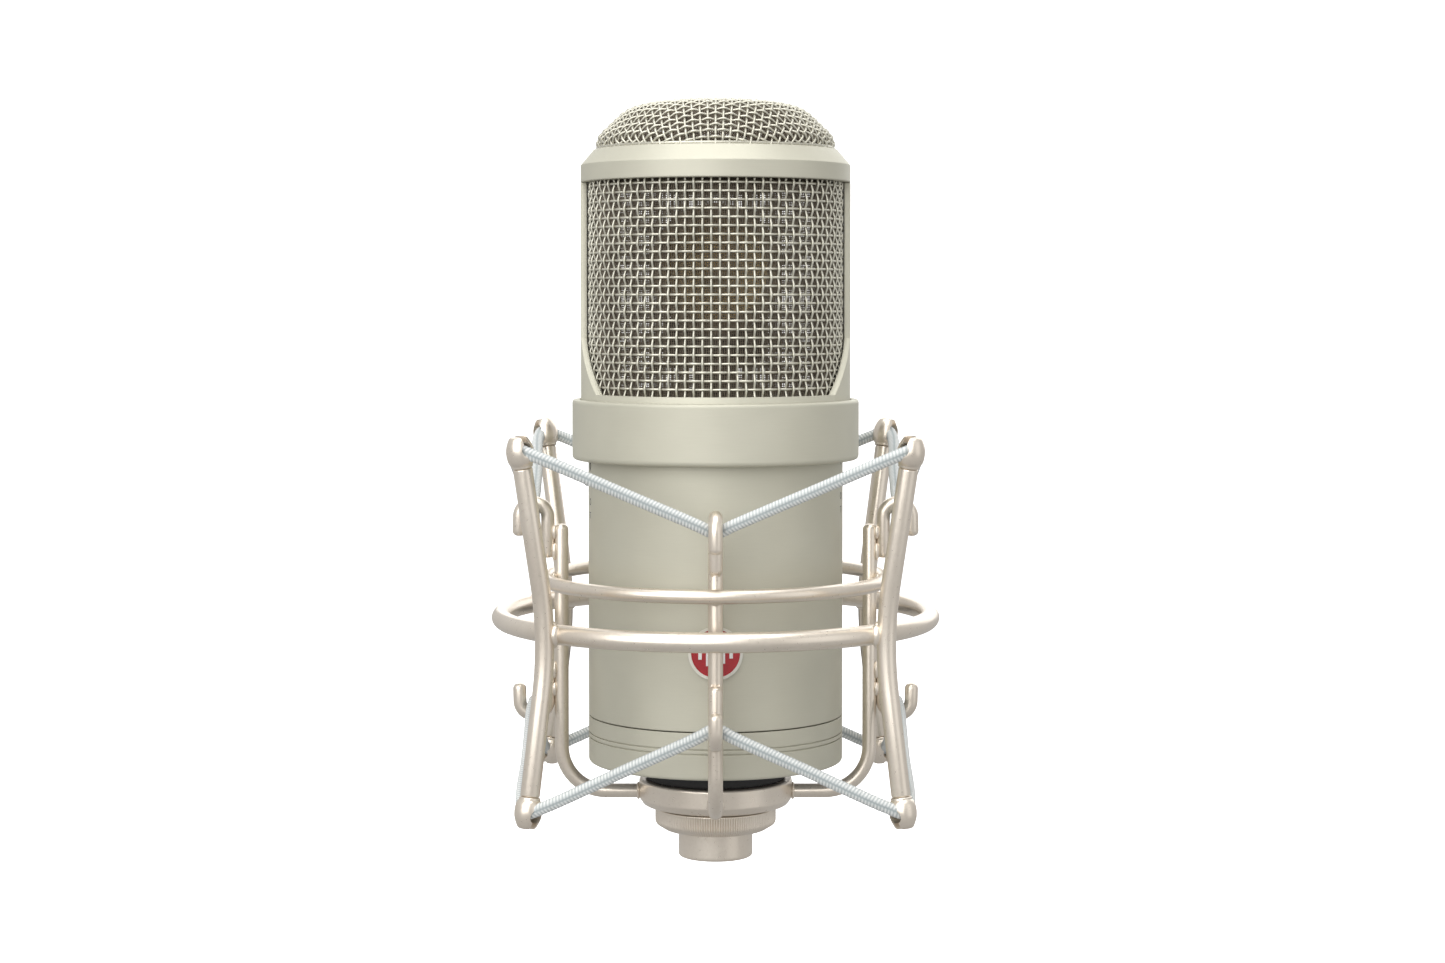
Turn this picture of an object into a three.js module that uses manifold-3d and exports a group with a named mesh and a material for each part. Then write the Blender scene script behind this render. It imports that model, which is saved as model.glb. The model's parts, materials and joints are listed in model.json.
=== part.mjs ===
// A side-address condenser microphone hanging in an elastic shock mount.
// Millimetres, +Z up, and the microphone's front faces -Y. The origin is the centre of the
// stand thread's mouth. Everything that hangs in front of the stand is drawn about the
// microphone's own axis, in a group of its own that puts the outer ring at the tilt pivot.
import * as THREE from 'three';
import { mergeVertices } from 'three/addons/utils/BufferGeometryUtils.js';
import Module from 'manifold-3d';

const wasm = await Module();
wasm.setup();

// ---- driving dimensions ----

const GAP = 0.1; // between pieces that touch on one axis
const SIDES = 32; // facets round the large shells

// Stand socket and tilt joint, about the stand thread's axis.
const THREAD_RADIUS = 7.94; // 5/8 inch stand thread
const THREAD_DEPTH = 18;
const SOCKET_RADIUS = 12;
const SOCKET_TOP = 27;
const PIVOT_HEIGHT = 42;
const PIVOT_TO_MIC_AXIS = 80;
const CHEEK_INNER = 4.6;
const CHEEK_OUTER = 9.6;
const CHEEK_RADIUS = 10;
const LUG_HALF_THICKNESS = 3.2;
const LUG_RADIUS = 9;
const SCREW_RADIUS = 3;
const SCREW_HOLE_RADIUS = 3.3;

// Microphone head.
const DOME_PROFILE = [[31.2, 183], [30.9, 186], [27.8, 189.4], [22.6, 194.1], [14.4, 195.6]];
const DOME_TOP = 196;
const MESH_THICKNESS = 1;
const HEAD_RADIUS = 35;
const HEAD_RING_TOP = 182.9;
const HEAD_RING_BEVEL = 178.9;
const HEAD_RING_BOTTOM = 174.5;
const FRAME_THICKNESS = 1.5;
const FRAME_BOTTOM = 108;
const WINDOW_BOTTOM = 120;
const SIDE_BAR_HALF_WIDTH = 4;
const GUSSET_TOP = 134.2;
const GUSSET_HALF_WIDTH = 17.4;
const GRILLE_RADIUS = 33.3;
const GRILLE_BOTTOM = 118.6;
const SCREEN_RADIUS = 31.7;
const SCREEN_THICKNESS = 0.5;
const COLLAR_RADIUS = 37.25;
const COLLAR_BOTTOM = 102.8;
const COLLAR_TOP = 118.4;
const COLLAR_EDGE = 1.2;

// Microphone body.
const BODY_RADIUS = 33.1;
const BODY_INNER = 31.5;
const BODY_TOP = 107.4;
const BODY_BOTTOM = 36.5;
const BOTTOM_RING_TOP = 36.2;
const BOTTOM_RING_FLOOR = 24.3;
const BASE_PLATE_TOP = 28.4;
const DECK_BOTTOM = 108.4;
const DECK_TOP = 110.8;
const CAPSULE_HEIGHT = 152;
const CAPSULE_RADIUS = 17;
const CAPSULE_HALF_DEPTH = 4.5;
const SWITCHES = [
  { name: 'pattern_switch', side: -1, height: 96.7 },
  { name: 'filter_switch', side: 1, height: 98.3 },
];
const SWITCH_TRAVEL = 2;
const TAB_HEIGHT = 1.8;
const TAB_HALF_WIDTH = 1.7;
const BADGE_HEIGHT = 56.3;
const BADGE_RADIUS = 6.7;

// Three-pole connector below the body.
const NOZZLE_RADIUS = 9.7;
const NOZZLE_BOTTOM = -1.15;
const CONNECTOR_BORE = 8;
const BOSS_RADIUS = 12.1;
const BOSS_BOTTOM = 8.5;
const PIN_RADIUS = 1.2;
const PIN_CIRCLE = 4.2;

// Basket that holds the microphone.
const ARM_CIRCLE = 40.2;
const ARM_RADIUS = 1.85;
const ARM_TOP = 85.8;
const ARM_FOOT_HEIGHT = 15.8;
const ARM_BEND = 11.6;
const ARM_END = 16;
const HOOK_LEG_CIRCLE = 43.75;
const HOOK_ROD_RADIUS = 1.75;
const HOOK_ARCH_RADIUS = 3.65;
const HOOK_UPPER = { arch: 87.6, innerEnd: 76.9, outerEnd: 82.4, up: 1 };
const HOOK_LOWER = { arch: 39.5, innerEnd: 49.6, outerEnd: 44, up: -1 };
const INNER_RING_CIRCLE = 43.9;
const INNER_RING_HEIGHT = 71.6;
const INNER_RING_RADIUS = 1.8;
const FLANGE_RADIUS = 20;
const FLANGE_TOP = 19.3;
const FLANGE_BOTTOM = 12.1;
const NUT_RADIUS = 15.85;
const NUT_TOP = 11.8;
const NUT_BOTTOM = 6.2;

// Cage that the basket hangs in.
const OUTER_RING_CIRCLE = 55.8;
const OUTER_RING_HEIGHT = 61.9;
const OUTER_RING_RADIUS = 2.5;
const POST_RADIUS = 2.4;
const POST_TOP = [66.3, 103.4];
const POST_KNEE = [58.1, 61];
const POST_KNEE_LENGTH = 13.7;
const POST_BOTTOM = [64.15, 22.7];
const CAP_RADIUS = 3.45;
const CAP_LENGTH = 7.8;
const CAP_SLOT = 4.2;
const CAP_GAP = 0.15; // between a post's end and its cap
const CORD_RADIUS = 1.4;
// Each cord runs round a square from cap to cap, and square is half its side. cap and hooked
// are the cord's heights in the caps and in the hooks between them.
const CORD_UPPER = { cap: 107.9, hooked: 87.5, square: 47.4 };
const CORD_LOWER = { cap: 18.6, hooked: 39.6, square: 46.05 };

// ---- finishes ----

const finish = (color, roughness, metalness) =>
  new THREE.MeshStandardMaterial({ color, roughness, metalness });

const satinNickel = () => finish(0xb9b4a3, 0.38, 0.85);
const grilleWire = () => finish(0xa9a595, 0.35, 0.9);
const welded = () => finish(0xb6ab98, 0.32, 0.9);
const blackRubber = () => finish(0x2a2a2b, 0.8, 0);
const blackPlastic = () => finish(0x1d1d1f, 0.5, 0);
const steel = () => finish(0x9a9b9c, 0.35, 0.9);
const brass = () => finish(0xb48a4a, 0.35, 0.9);
const gold = () => finish(0xd9b260, 0.25, 0.9);
const elasticFabric = () => finish(0xaab4bd, 0.9, 0);
const boardGreen = () => finish(0x2b5a3c, 0.6, 0);
const badgeRed = () => finish(0xb5222b, 0.3, 0.1);

// ---- geometry helpers ----

/** A body of revolution about Z. The outline is a closed loop of [radius, height]. */
function turned(outline, sides = SIDES) {
  const loop = [...outline, outline[0]].map(([radius, height]) => new THREE.Vector2(radius, height));
  return new THREE.LatheGeometry(loop, sides).rotateX(Math.PI / 2);
}

/** A body of revolution that reaches the axis at both ends of its outline. */
function turnedSolid(outline, sides = SIDES) {
  const line = outline.map(([radius, height]) => new THREE.Vector2(radius, height));
  return new THREE.LatheGeometry(line, sides).rotateX(Math.PI / 2);
}

/** A plain ring or tube between two radii and two heights. */
function tube(inner, outer, bottom, top, sides = SIDES) {
  return turned([[outer, bottom], [outer, top], [inner, top], [inner, bottom]], sides);
}

/** A round bar along the Z axis. */
function bar(radius, bottom, top, sides = 16) {
  const length = top - bottom;
  const geometry = new THREE.CylinderGeometry(radius, radius, length, sides).rotateX(Math.PI / 2);
  return geometry.translate(0, 0, bottom + length / 2);
}

/** A box given by its lowest and highest corners. */
function block([x0, y0, z0], [x1, y1, z1]) {
  const geometry = new THREE.BoxGeometry(x1 - x0, y1 - y0, z1 - z0);
  return geometry.translate((x0 + x1) / 2, (y0 + y1) / 2, (z0 + z1) / 2);
}

/** A rod of round section along a path. */
function rod(path, radius, steps, sides = 8) {
  const section = new THREE.Shape();
  section.absarc(0, 0, radius, 0, 2 * Math.PI);
  const outline = new THREE.Shape(section.getSpacedPoints(sides).slice(0, sides));
  return new THREE.ExtrudeGeometry(outline, { steps, extrudePath: path, bevelEnabled: false });
}

/** A point on the half-plane at an azimuth, where 0 is the front and 90 degrees is +X. */
function polar(radius, degrees, height) {
  const angle = THREE.MathUtils.degToRad(degrees);
  return new THREE.Vector3(radius * Math.sin(angle), -radius * Math.cos(angle), height);
}

/** A quarter turn from one point to another, about the corner where their tangents meet. */
function quarterTurn(from, corner, to) {
  const roundness = 0.5523;
  const leave = from.clone().lerp(corner, roundness);
  const arrive = to.clone().lerp(corner, roundness);
  return new THREE.CubicBezierCurve3(from, leave, arrive, to);
}

function chain(...curves) {
  const path = new THREE.CurvePath();
  curves.forEach((curve) => path.add(curve));
  return path;
}

// ---- booleans ----

function toManifold(geometry) {
  const bare = geometry.clone();
  bare.deleteAttribute('normal');
  bare.deleteAttribute('uv');
  const merged = mergeVertices(bare, 1e-4);
  const index = merged.index.array;
  const corners = [];
  for (let i = 0; i < index.length; i += 3) {
    const [a, b, c] = [index[i], index[i + 1], index[i + 2]];
    if (a !== b && b !== c && c !== a) corners.push(a, b, c);
  }
  return new wasm.Manifold(new wasm.Mesh({
    numProp: 3,
    vertProperties: new Float32Array(merged.attributes.position.array),
    triVerts: new Uint32Array(corners),
  }));
}

function toGeometry(manifold) {
  const mesh = manifold.getMesh();
  const geometry = new THREE.BufferGeometry();
  geometry.setAttribute('position', new THREE.BufferAttribute(mesh.vertProperties, 3));
  geometry.setIndex(new THREE.BufferAttribute(mesh.triVerts, 1));
  geometry.computeVertexNormals();
  return geometry;
}

const joined = (first, ...rest) =>
  toGeometry(rest.reduce((whole, piece) => whole.add(toManifold(piece)), toManifold(first)));

const cut = (first, ...tools) =>
  toGeometry(tools.reduce((whole, tool) => whole.subtract(toManifold(tool)), toManifold(first)));

const common = (first, second) => toGeometry(toManifold(first).intersect(toManifold(second)));

function piece(name, geometry, material) {
  const mesh = new THREE.Mesh(geometry, material);
  mesh.name = name;
  return mesh;
}

// ---- microphone head ----

function domeGrille() {
  const inner = DOME_PROFILE.map(([radius, height]) => [radius - MESH_THICKNESS, height]);
  inner[0][1] = DOME_PROFILE[0][1];
  inner[3][1] -= MESH_THICKNESS / 2;
  inner[4][1] -= MESH_THICKNESS;
  const outline = [
    ...DOME_PROFILE, [0, DOME_TOP], [0, DOME_TOP - MESH_THICKNESS], ...inner.reverse(),
    DOME_PROFILE[0],
  ];
  return piece('dome_grille', turnedSolid(outline), grilleWire());
}

function headRing() {
  const outline = [
    [HEAD_RADIUS, HEAD_RING_BOTTOM], [HEAD_RADIUS, HEAD_RING_BEVEL], [31.6, HEAD_RING_TOP],
    [30.3, HEAD_RING_TOP], [30.3, HEAD_RING_BOTTOM],
  ];
  return piece('head_ring', turned(outline), satinNickel());
}

/** The grille's frame: a skirt and two side bars that widen into it at a slant. */
function headFrame() {
  const top = HEAD_RING_BOTTOM - GAP;
  const shell = tube(HEAD_RADIUS - FRAME_THICKNESS, HEAD_RADIUS, FRAME_BOTTOM, top, 2 * SIDES);
  const past = HEAD_RADIUS + 1;
  const windows = [-1, 1].map((side) => {
    const profile = new THREE.Shape([
      [SIDE_BAR_HALF_WIDTH, top + 1], [SIDE_BAR_HALF_WIDTH, GUSSET_TOP],
      [GUSSET_HALF_WIDTH, WINDOW_BOTTOM], [past, WINDOW_BOTTOM], [past, top + 1],
    ].map(([back, up]) => new THREE.Vector2(side * back, up)));
    return acrossX(profile, past, 0);
  });
  return piece('head_frame', cut(shell, ...windows), satinNickel());
}

function sideGrille() {
  const shell = tube(GRILLE_RADIUS - MESH_THICKNESS, GRILLE_RADIUS, GRILLE_BOTTOM,
    HEAD_RING_BOTTOM - GAP);
  return piece('side_grille', shell, grilleWire());
}

/** A fine mesh cup that lines the side grille and the dome. */
function innerScreen() {
  const outer = [
    [SCREEN_RADIUS, GRILLE_BOTTOM], [SCREEN_RADIUS, 172], [29.8, 174.2], [29.4, 184],
    [26.3, 188], [21, 192.4], [13, 194],
  ];
  const inner = outer.map(([radius, height]) => [radius - SCREEN_THICKNESS, height - 0.2]);
  inner[0][1] = GRILLE_BOTTOM;
  const outline = [...outer, [0, 194.3], [0, 193.8], ...inner.reverse(), outer[0]];
  return piece('inner_screen', turnedSolid(outline, 24), steel());
}

function collar() {
  const lip = BODY_RADIUS + 0.3;
  const seat = HEAD_RADIUS + 0.3;
  const outline = [
    [COLLAR_RADIUS - COLLAR_EDGE, COLLAR_BOTTOM], [COLLAR_RADIUS, COLLAR_BOTTOM + COLLAR_EDGE],
    [COLLAR_RADIUS, COLLAR_TOP - COLLAR_EDGE], [COLLAR_RADIUS - COLLAR_EDGE, COLLAR_TOP],
    [seat, COLLAR_TOP], [seat, FRAME_BOTTOM - 0.2], [lip, FRAME_BOTTOM - 0.2], [lip, COLLAR_BOTTOM],
  ];
  return piece('collar', turned(outline), satinNickel());
}

function capsule() {
  const depth = CAPSULE_HALF_DEPTH;
  const facing = (geometry) => geometry.rotateX(Math.PI / 2).translate(0, 0, CAPSULE_HEIGHT);
  const disc = (inner, outer, start, end) =>
    facing(inner > 0 ? tube(inner, outer, start, end, 24) : bar(outer, start, end, 24));
  const ringStart = depth + 0.6;
  const cradle = cut(
    joined(
      block([-5, -3.5, DECK_TOP + GAP], [5, 3.5, 131]),
      block([-13, -4.2, 129], [13, 4.2, 142]),
    ),
    disc(0, CAPSULE_RADIUS + 0.3, -10, 10),
  );
  return [
    piece('capsule_backplate', disc(0, CAPSULE_RADIUS, -depth, depth), brass()),
    piece('front_diaphragm', disc(0, 16, depth + GAP, depth + 0.4), gold()),
    piece('rear_diaphragm', disc(0, 16, -depth - 0.4, -depth - GAP), gold()),
    piece('front_clamp_ring', disc(13.4, 16.8, ringStart, ringStart + 1.2), brass()),
    piece('rear_clamp_ring', disc(13.4, 16.8, -ringStart - 1.2, -ringStart), brass()),
    piece('capsule_saddle', cradle, blackPlastic()),
  ];
}

// ---- microphone body ----

/** The body tube, with one upright slot in each side for a switch tab. */
function bodyTube() {
  const halfHeight = TAB_HEIGHT / 2 + SWITCH_TRAVEL + 0.3;
  const halfWidth = TAB_HALF_WIDTH + 0.3;
  const slots = SWITCHES.map(({ side, height }) => {
    const reach = [side * 28, side * 36].sort((a, b) => a - b);
    const [low, high] = [height - halfHeight, height + halfHeight];
    return block([reach[0], -halfWidth, low], [reach[1], halfWidth, high]);
  });
  const shell = tube(BODY_INNER, BODY_RADIUS, BODY_BOTTOM, BODY_TOP);
  return piece('body_tube', cut(shell, ...slots), satinNickel());
}

function bottomRing() {
  const groove = { bottom: 30.7, top: 32.1, depth: 0.35 };
  const outline = [
    [BODY_RADIUS - 1.7, BOTTOM_RING_FLOOR], [BODY_RADIUS - 0.5, BOTTOM_RING_FLOOR + 0.5],
    [BODY_RADIUS, BOTTOM_RING_FLOOR + 1.7], [BODY_RADIUS, groove.bottom],
    [BODY_RADIUS - groove.depth, groove.bottom], [BODY_RADIUS - groove.depth, groove.top],
    [BODY_RADIUS, groove.top], [BODY_RADIUS, BOTTOM_RING_TOP],
    [BODY_INNER, BOTTOM_RING_TOP], [BODY_INNER, BOTTOM_RING_FLOOR],
  ];
  return piece('bottom_ring', turned(outline), satinNickel());
}

/** Two uprights that join the base plate to the deck which carries the capsule. */
function chassis() {
  const plate = tube(BOSS_RADIUS + 0.3, BODY_INNER - 0.4, BOTTOM_RING_FLOOR + GAP, BASE_PLATE_TOP);
  const deck = tube(3, BODY_INNER + 1.4, DECK_BOTTOM, DECK_TOP);
  const rail = (y) =>
    block([-5, y - 1.3, BASE_PLATE_TOP + GAP], [5, y + 1.3, DECK_BOTTOM - GAP]);
  return [
    piece('base_plate', plate, steel()),
    piece('capsule_deck', deck, steel()),
    piece('front_rail', rail(-24), steel()),
    piece('rear_rail', rail(24), steel()),
  ];
}

function electronics() {
  return [
    piece('circuit_board', block([2, -21, 38], [3.6, 21, 102]), boardGreen()),
    piece('output_transformer', block([-17, -10, 36], [1.6, 10, 56]), steel()),
    piece('coupling_capacitor', bar(5, 66, 84, 12).translate(-4, 8, 0), badgeRed()),
  ];
}

/** One slide switch: its housing inside the tube, and a T-shaped tab through the slot. */
function slideSwitch({ name, side, height }) {
  const tab = new THREE.Shape();
  tab.setFromPoints([
    [28.2, -3], [29.5, -3], [29.5, -TAB_HALF_WIDTH], [34.1, -TAB_HALF_WIDTH],
    [34.1, TAB_HALF_WIDTH], [29.5, TAB_HALF_WIDTH], [29.5, 3], [28.2, 3],
  ].map(([x, y]) => new THREE.Vector2(x, y)));
  const slider = new THREE.ExtrudeGeometry(tab, { depth: TAB_HEIGHT, bevelEnabled: false });
  slider.translate(0, 0, -TAB_HEIGHT / 2);
  const group = new THREE.Group();
  group.position.z = height;
  group.rotation.z = side > 0 ? 0 : Math.PI;
  group.add(
    piece(`${name}_housing`, block([19, -5.5, -8], [27.8, 5.5, 8]), blackPlastic()),
    piece(`${name}_slider`, slider, blackPlastic()),
  );
  return group;
}

/** A plain round badge, curved to the body. */
function badge() {
  const stamp = new THREE.CylinderGeometry(BADGE_RADIUS, BADGE_RADIUS, 20, 24);
  stamp.translate(0, -30, BADGE_HEIGHT);
  const skin = tube(BODY_RADIUS + 0.25, BODY_RADIUS + 0.8, BADGE_HEIGHT - 9, BADGE_HEIGHT + 9);
  return piece('badge', common(skin, stamp), badgeRed());
}

function connector() {
  const shell = turned([
    [NOZZLE_RADIUS - 0.6, NOZZLE_BOTTOM], [NOZZLE_RADIUS, NOZZLE_BOTTOM + 0.8],
    [NOZZLE_RADIUS, BOSS_BOTTOM],
    [BOSS_RADIUS, BOSS_BOTTOM], [BOSS_RADIUS, BASE_PLATE_TOP + GAP], [15, BASE_PLATE_TOP + GAP],
    [15, 30.2], [6.5, 30.2], [6.5, 22.2], [CONNECTOR_BORE, 22.2], [CONNECTOR_BORE, NOZZLE_BOTTOM],
  ], 24);
  const pins = [-60, 60, 180].map((degrees, i) => {
    const pin = bar(PIN_RADIUS, NOZZLE_BOTTOM + 2.5, 24, 8);
    pin.translate(...polar(PIN_CIRCLE, degrees, 0).toArray());
    return piece(`xlr_pin_${i + 1}`, pin, brass());
  });
  const holes = pins.map((_, i) => {
    const hole = bar(PIN_RADIUS + GAP, 10, 24, 8);
    return hole.translate(...polar(PIN_CIRCLE, [-60, 60, 180][i], 0).toArray());
  });
  const insert = cut(bar(CONNECTOR_BORE - GAP, 13, 22.1, 24), ...holes);
  return [
    piece('xlr_shell', shell, satinNickel()),
    piece('xlr_insert', insert, blackPlastic()),
    ...pins,
  ];
}

// ---- basket ----

/** A hook bent from rod: inner leg, half-round arch and outer leg, drawn on the front arm. */
function hook({ arch, innerEnd, outerEnd, up }) {
  const inner = -HOOK_LEG_CIRCLE;
  const middle = inner - HOOK_ARCH_RADIUS;
  const outer = middle - HOOK_ARCH_RADIUS;
  const crown = arch + up * HOOK_ARCH_RADIUS;
  const at = (y, z) => new THREE.Vector3(0, y, z);
  const path = chain(
    new THREE.LineCurve3(at(inner, innerEnd), at(inner, arch)),
    quarterTurn(at(inner, arch), at(inner, crown), at(middle, crown)),
    quarterTurn(at(middle, crown), at(outer, crown), at(outer, arch)),
    new THREE.LineCurve3(at(outer, arch), at(outer - 0.2, outerEnd)),
  );
  return rod(path, HOOK_ROD_RADIUS, 11);
}

/** One upright arm with the two hooks welded to it, drawn at the front. */
function armGeometry() {
  const at = (radius, z) => new THREE.Vector3(0, -radius, z);
  const bendTop = at(ARM_CIRCLE, ARM_FOOT_HEIGHT + ARM_BEND);
  const bendEnd = at(ARM_CIRCLE - ARM_BEND, ARM_FOOT_HEIGHT);
  const path = chain(
    new THREE.LineCurve3(at(ARM_CIRCLE, ARM_TOP), bendTop),
    quarterTurn(bendTop, at(ARM_CIRCLE, ARM_FOOT_HEIGHT), bendEnd),
    new THREE.LineCurve3(bendEnd, at(ARM_END, ARM_FOOT_HEIGHT)),
  );
  const weld = (low, high) =>
    block([-1, -HOOK_LEG_CIRCLE, low], [1, -ARM_CIRCLE, high]);
  return joined(
    rod(path, ARM_RADIUS, 15), hook(HOOK_UPPER), hook(HOOK_LOWER),
    weld(77.5, 84.5), weld(42, 49),
  );
}

function arms() {
  return ['front', 'right', 'rear', 'left'].map((place, i) => {
    const arm = piece(`arm_${place}`, armGeometry(), welded());
    arm.rotation.z = i * Math.PI / 2;
    return arm;
  });
}

/** A closed ring of round rod, notched where the uprights are welded to it. */
function rodRing(circle, radius, height, sides, uprights) {
  const ring = new THREE.TorusGeometry(circle, radius, 8, sides).translate(0, 0, height);
  return cut(ring, ...uprights);
}

function innerRing() {
  const uprights = [0, 90, 180, 270].map((degrees) =>
    bar(ARM_RADIUS + 0.3, INNER_RING_HEIGHT - 4, INNER_RING_HEIGHT + 4, 8)
      .translate(...polar(ARM_CIRCLE, degrees, 0).toArray()));
  const ring = rodRing(INNER_RING_CIRCLE, INNER_RING_RADIUS, INNER_RING_HEIGHT, 32, uprights);
  return piece('inner_ring', ring, welded());
}

function basketBase() {
  const flange = turned([
    [16.3, FLANGE_BOTTOM], [18.8, FLANGE_BOTTOM + 0.8], [FLANGE_RADIUS, FLANGE_BOTTOM + 2.1],
    [FLANGE_RADIUS, FLANGE_TOP - 0.5], [FLANGE_RADIUS - 0.5, FLANGE_TOP],
    [BOSS_RADIUS + 0.3, FLANGE_TOP],
    [BOSS_RADIUS + 0.3, FLANGE_BOTTOM],
  ], 32);
  const sockets = [0, 90, 180, 270].map((degrees) => {
    const hole = bar(ARM_RADIUS + 0.3, ARM_END - 0.4, FLANGE_RADIUS + 2, 8);
    hole.rotateX(Math.PI / 2).rotateZ(THREE.MathUtils.degToRad(degrees));
    return hole.translate(0, 0, ARM_FOOT_HEIGHT);
  });
  return piece('basket_base', cut(flange, ...sockets), welded());
}

function baseGasket() {
  const ring = tube(BOSS_RADIUS + 0.3, 18.3, FLANGE_TOP + GAP, BOTTOM_RING_FLOOR - GAP, 32);
  return piece('base_gasket', ring, blackRubber());
}

/** The knurled nut: a threaded ring with an inward lip that passes over the nozzle. */
function ringNut() {
  const thread = BOSS_RADIUS + 0.2;
  const lip = NOZZLE_RADIUS + 0.3;
  return piece('ring_nut', turned([
    [13.5, NUT_BOTTOM], [NUT_RADIUS, NUT_BOTTOM + 1.6], [NUT_RADIUS, NUT_TOP], [thread, NUT_TOP],
    [thread, BOSS_BOTTOM - 0.3], [lip, BOSS_BOTTOM - 0.3], [lip, NUT_BOTTOM],
  ], 32), steel());
}

// ---- cage ----

/** A post's centre line at the front: two straight legs and a gentle knee between them. */
function postPath() {
  const at = ([radius, height]) => new THREE.Vector3(0, -radius, height);
  const [top, knee, bottom] = [at(POST_TOP), at(POST_KNEE), at(POST_BOTTOM)];
  const along = (end) =>
    knee.clone().add(end.clone().sub(knee).setLength(POST_KNEE_LENGTH));
  return chain(
    new THREE.LineCurve3(top, along(top)),
    new THREE.QuadraticBezierCurve3(along(top), knee, along(bottom)),
    new THREE.LineCurve3(along(bottom), bottom),
  );
}

/** A barrel-shaped cap with a slot across its free end, standing on z = 0. */
function capGeometry() {
  const barrel = turnedSolid([
    [0, 0], [2.6, 0], [CAP_RADIUS, 1.6], [CAP_RADIUS, 4.6], [2, CAP_LENGTH], [0, CAP_LENGTH],
  ], 12);
  const slot = block([-5, -CAP_SLOT / 2, 1.8], [5, CAP_SLOT / 2, CAP_LENGTH + 1]);
  return cut(barrel, slot);
}

/** Four posts at the corners, each with a slotted cap pressed on at either end. */
function posts() {
  const leanOf = ([radius, height]) =>
    Math.atan2(radius - POST_KNEE[0], height - POST_KNEE[1]);
  const ends = [
    { level: 'upper', end: POST_TOP },
    { level: 'lower', end: POST_BOTTOM },
  ];
  const corners = ['front_right', 'rear_right', 'rear_left', 'front_left'];
  return corners.map((corner, i) => {
    const group = new THREE.Group();
    group.rotation.z = Math.PI / 4 + i * Math.PI / 2;
    group.add(piece(`post_${corner}`, rod(postPath(), POST_RADIUS, 8), welded()));
    ends.forEach(({ level, end }) => {
      const cap = piece(`${level}_cap_${corner}`, capGeometry(), welded());
      const lean = leanOf(end);
      cap.position.set(0, -end[0] - Math.sin(lean) * CAP_GAP, end[1] + Math.cos(lean) * CAP_GAP);
      cap.rotation.x = lean;
      group.add(cap);
    });
    return group;
  });
}

function outerRing() {
  const uprights = [45, 135, 225, 315].map((degrees) =>
    rod(postPath(), POST_RADIUS + 0.3, 8).rotateZ(THREE.MathUtils.degToRad(degrees)));
  const ring = rodRing(OUTER_RING_CIRCLE, OUTER_RING_RADIUS, OUTER_RING_HEIGHT, 40, uprights);
  return piece('outer_ring', ring, welded());
}

/** A closed cord strung round the four caps and through the four hooks between them. */
function cordPath({ cap, hooked: hookHeight, square }) {
  const hooked = HOOK_LEG_CIRCLE + HOOK_ARCH_RADIUS;
  const slope = (hookHeight - cap) / square;
  const beside = { in: 6, out: 2.6 }; // where the cord's bend in the cap's slot ends
  const points = [];
  for (let side = 0; side < 4; side += 1) {
    const up = new THREE.Vector3(0, 0, 1);
    const along = (x, y, z) =>
      points.push(new THREE.Vector3(x, y, z).applyAxisAngle(up, side * Math.PI / 2));
    const half = -(hooked + square + beside.out) / 2;
    along(beside.in - square, -square - beside.out, cap + slope * 3.2);
    along(-square / 2, half, cap + slope * square / 2);
    along(-3, -hooked, hookHeight - slope * 1.2);
    along(3, -hooked, hookHeight - slope * 1.2);
    along(square / 2, half, cap + slope * square / 2);
    along(square - beside.in, -square - beside.out, cap + slope * 3.2);
    along(square + 0.2, -square - 0.2, cap);
  }
  return new THREE.CatmullRomCurve3(points, true, 'centripetal');
}

function elastic(name, run) {
  const cord = new THREE.TubeGeometry(cordPath(run), 64, CORD_RADIUS, 6, true);
  return piece(name, cord, elasticFabric());
}

/** The plate welded behind the outer ring, which the stand socket clamps. */
function tiltLug() {
  const back = PIVOT_TO_MIC_AXIS;
  const front = OUTER_RING_CIRCLE + OUTER_RING_RADIUS + 0.2;
  const plate = new THREE.Shape();
  plate.moveTo(front, -5);
  plate.lineTo(back, -LUG_RADIUS);
  plate.absarc(back, 0, LUG_RADIUS, -Math.PI / 2, Math.PI / 2);
  plate.lineTo(front, 5);
  const hole = new THREE.Path();
  hole.absarc(back, 0, SCREW_HOLE_RADIUS, 0, 2 * Math.PI, true);
  plate.holes.push(hole);
  return piece('tilt_lug', acrossX(plate, LUG_HALF_THICKNESS, OUTER_RING_HEIGHT), welded());
}

/** Extrudes a side view, drawn as (back, up), evenly to both sides of x = 0. */
function acrossX(shape, halfThickness, height) {
  const depth = 2 * halfThickness;
  const geometry = new THREE.ExtrudeGeometry(shape, { depth, bevelEnabled: false, curveSegments: 8 });
  geometry.rotateX(Math.PI / 2).rotateZ(Math.PI / 2);
  return geometry.translate(-halfThickness, 0, height);
}

// ---- stand joint ----

function standSocket() {
  const barrel = turned([
    [SOCKET_RADIUS - 0.6, 0], [SOCKET_RADIUS, 0.6], [SOCKET_RADIUS, SOCKET_TOP],
    [THREAD_RADIUS, SOCKET_TOP], [THREAD_RADIUS, 0],
  ], 32);
  const plug = bar(THREAD_RADIUS + 1, THREAD_DEPTH, SOCKET_TOP, 32);
  const cheek = new THREE.Shape();
  cheek.moveTo(-CHEEK_RADIUS, SOCKET_TOP - 4);
  cheek.lineTo(CHEEK_RADIUS, SOCKET_TOP - 4);
  cheek.absarc(0, PIVOT_HEIGHT, CHEEK_RADIUS, 0, Math.PI);
  const fork = acrossX(cheek, CHEEK_OUTER, 0);
  const slot = block([-CHEEK_INNER, -20, 31], [CHEEK_INNER, 20, 60]);
  const screwHole = pivotBar(SCREW_HOLE_RADIUS, -20, 20);
  return piece('stand_socket', cut(joined(barrel, plug, fork), slot, screwHole), steel());
}

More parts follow.
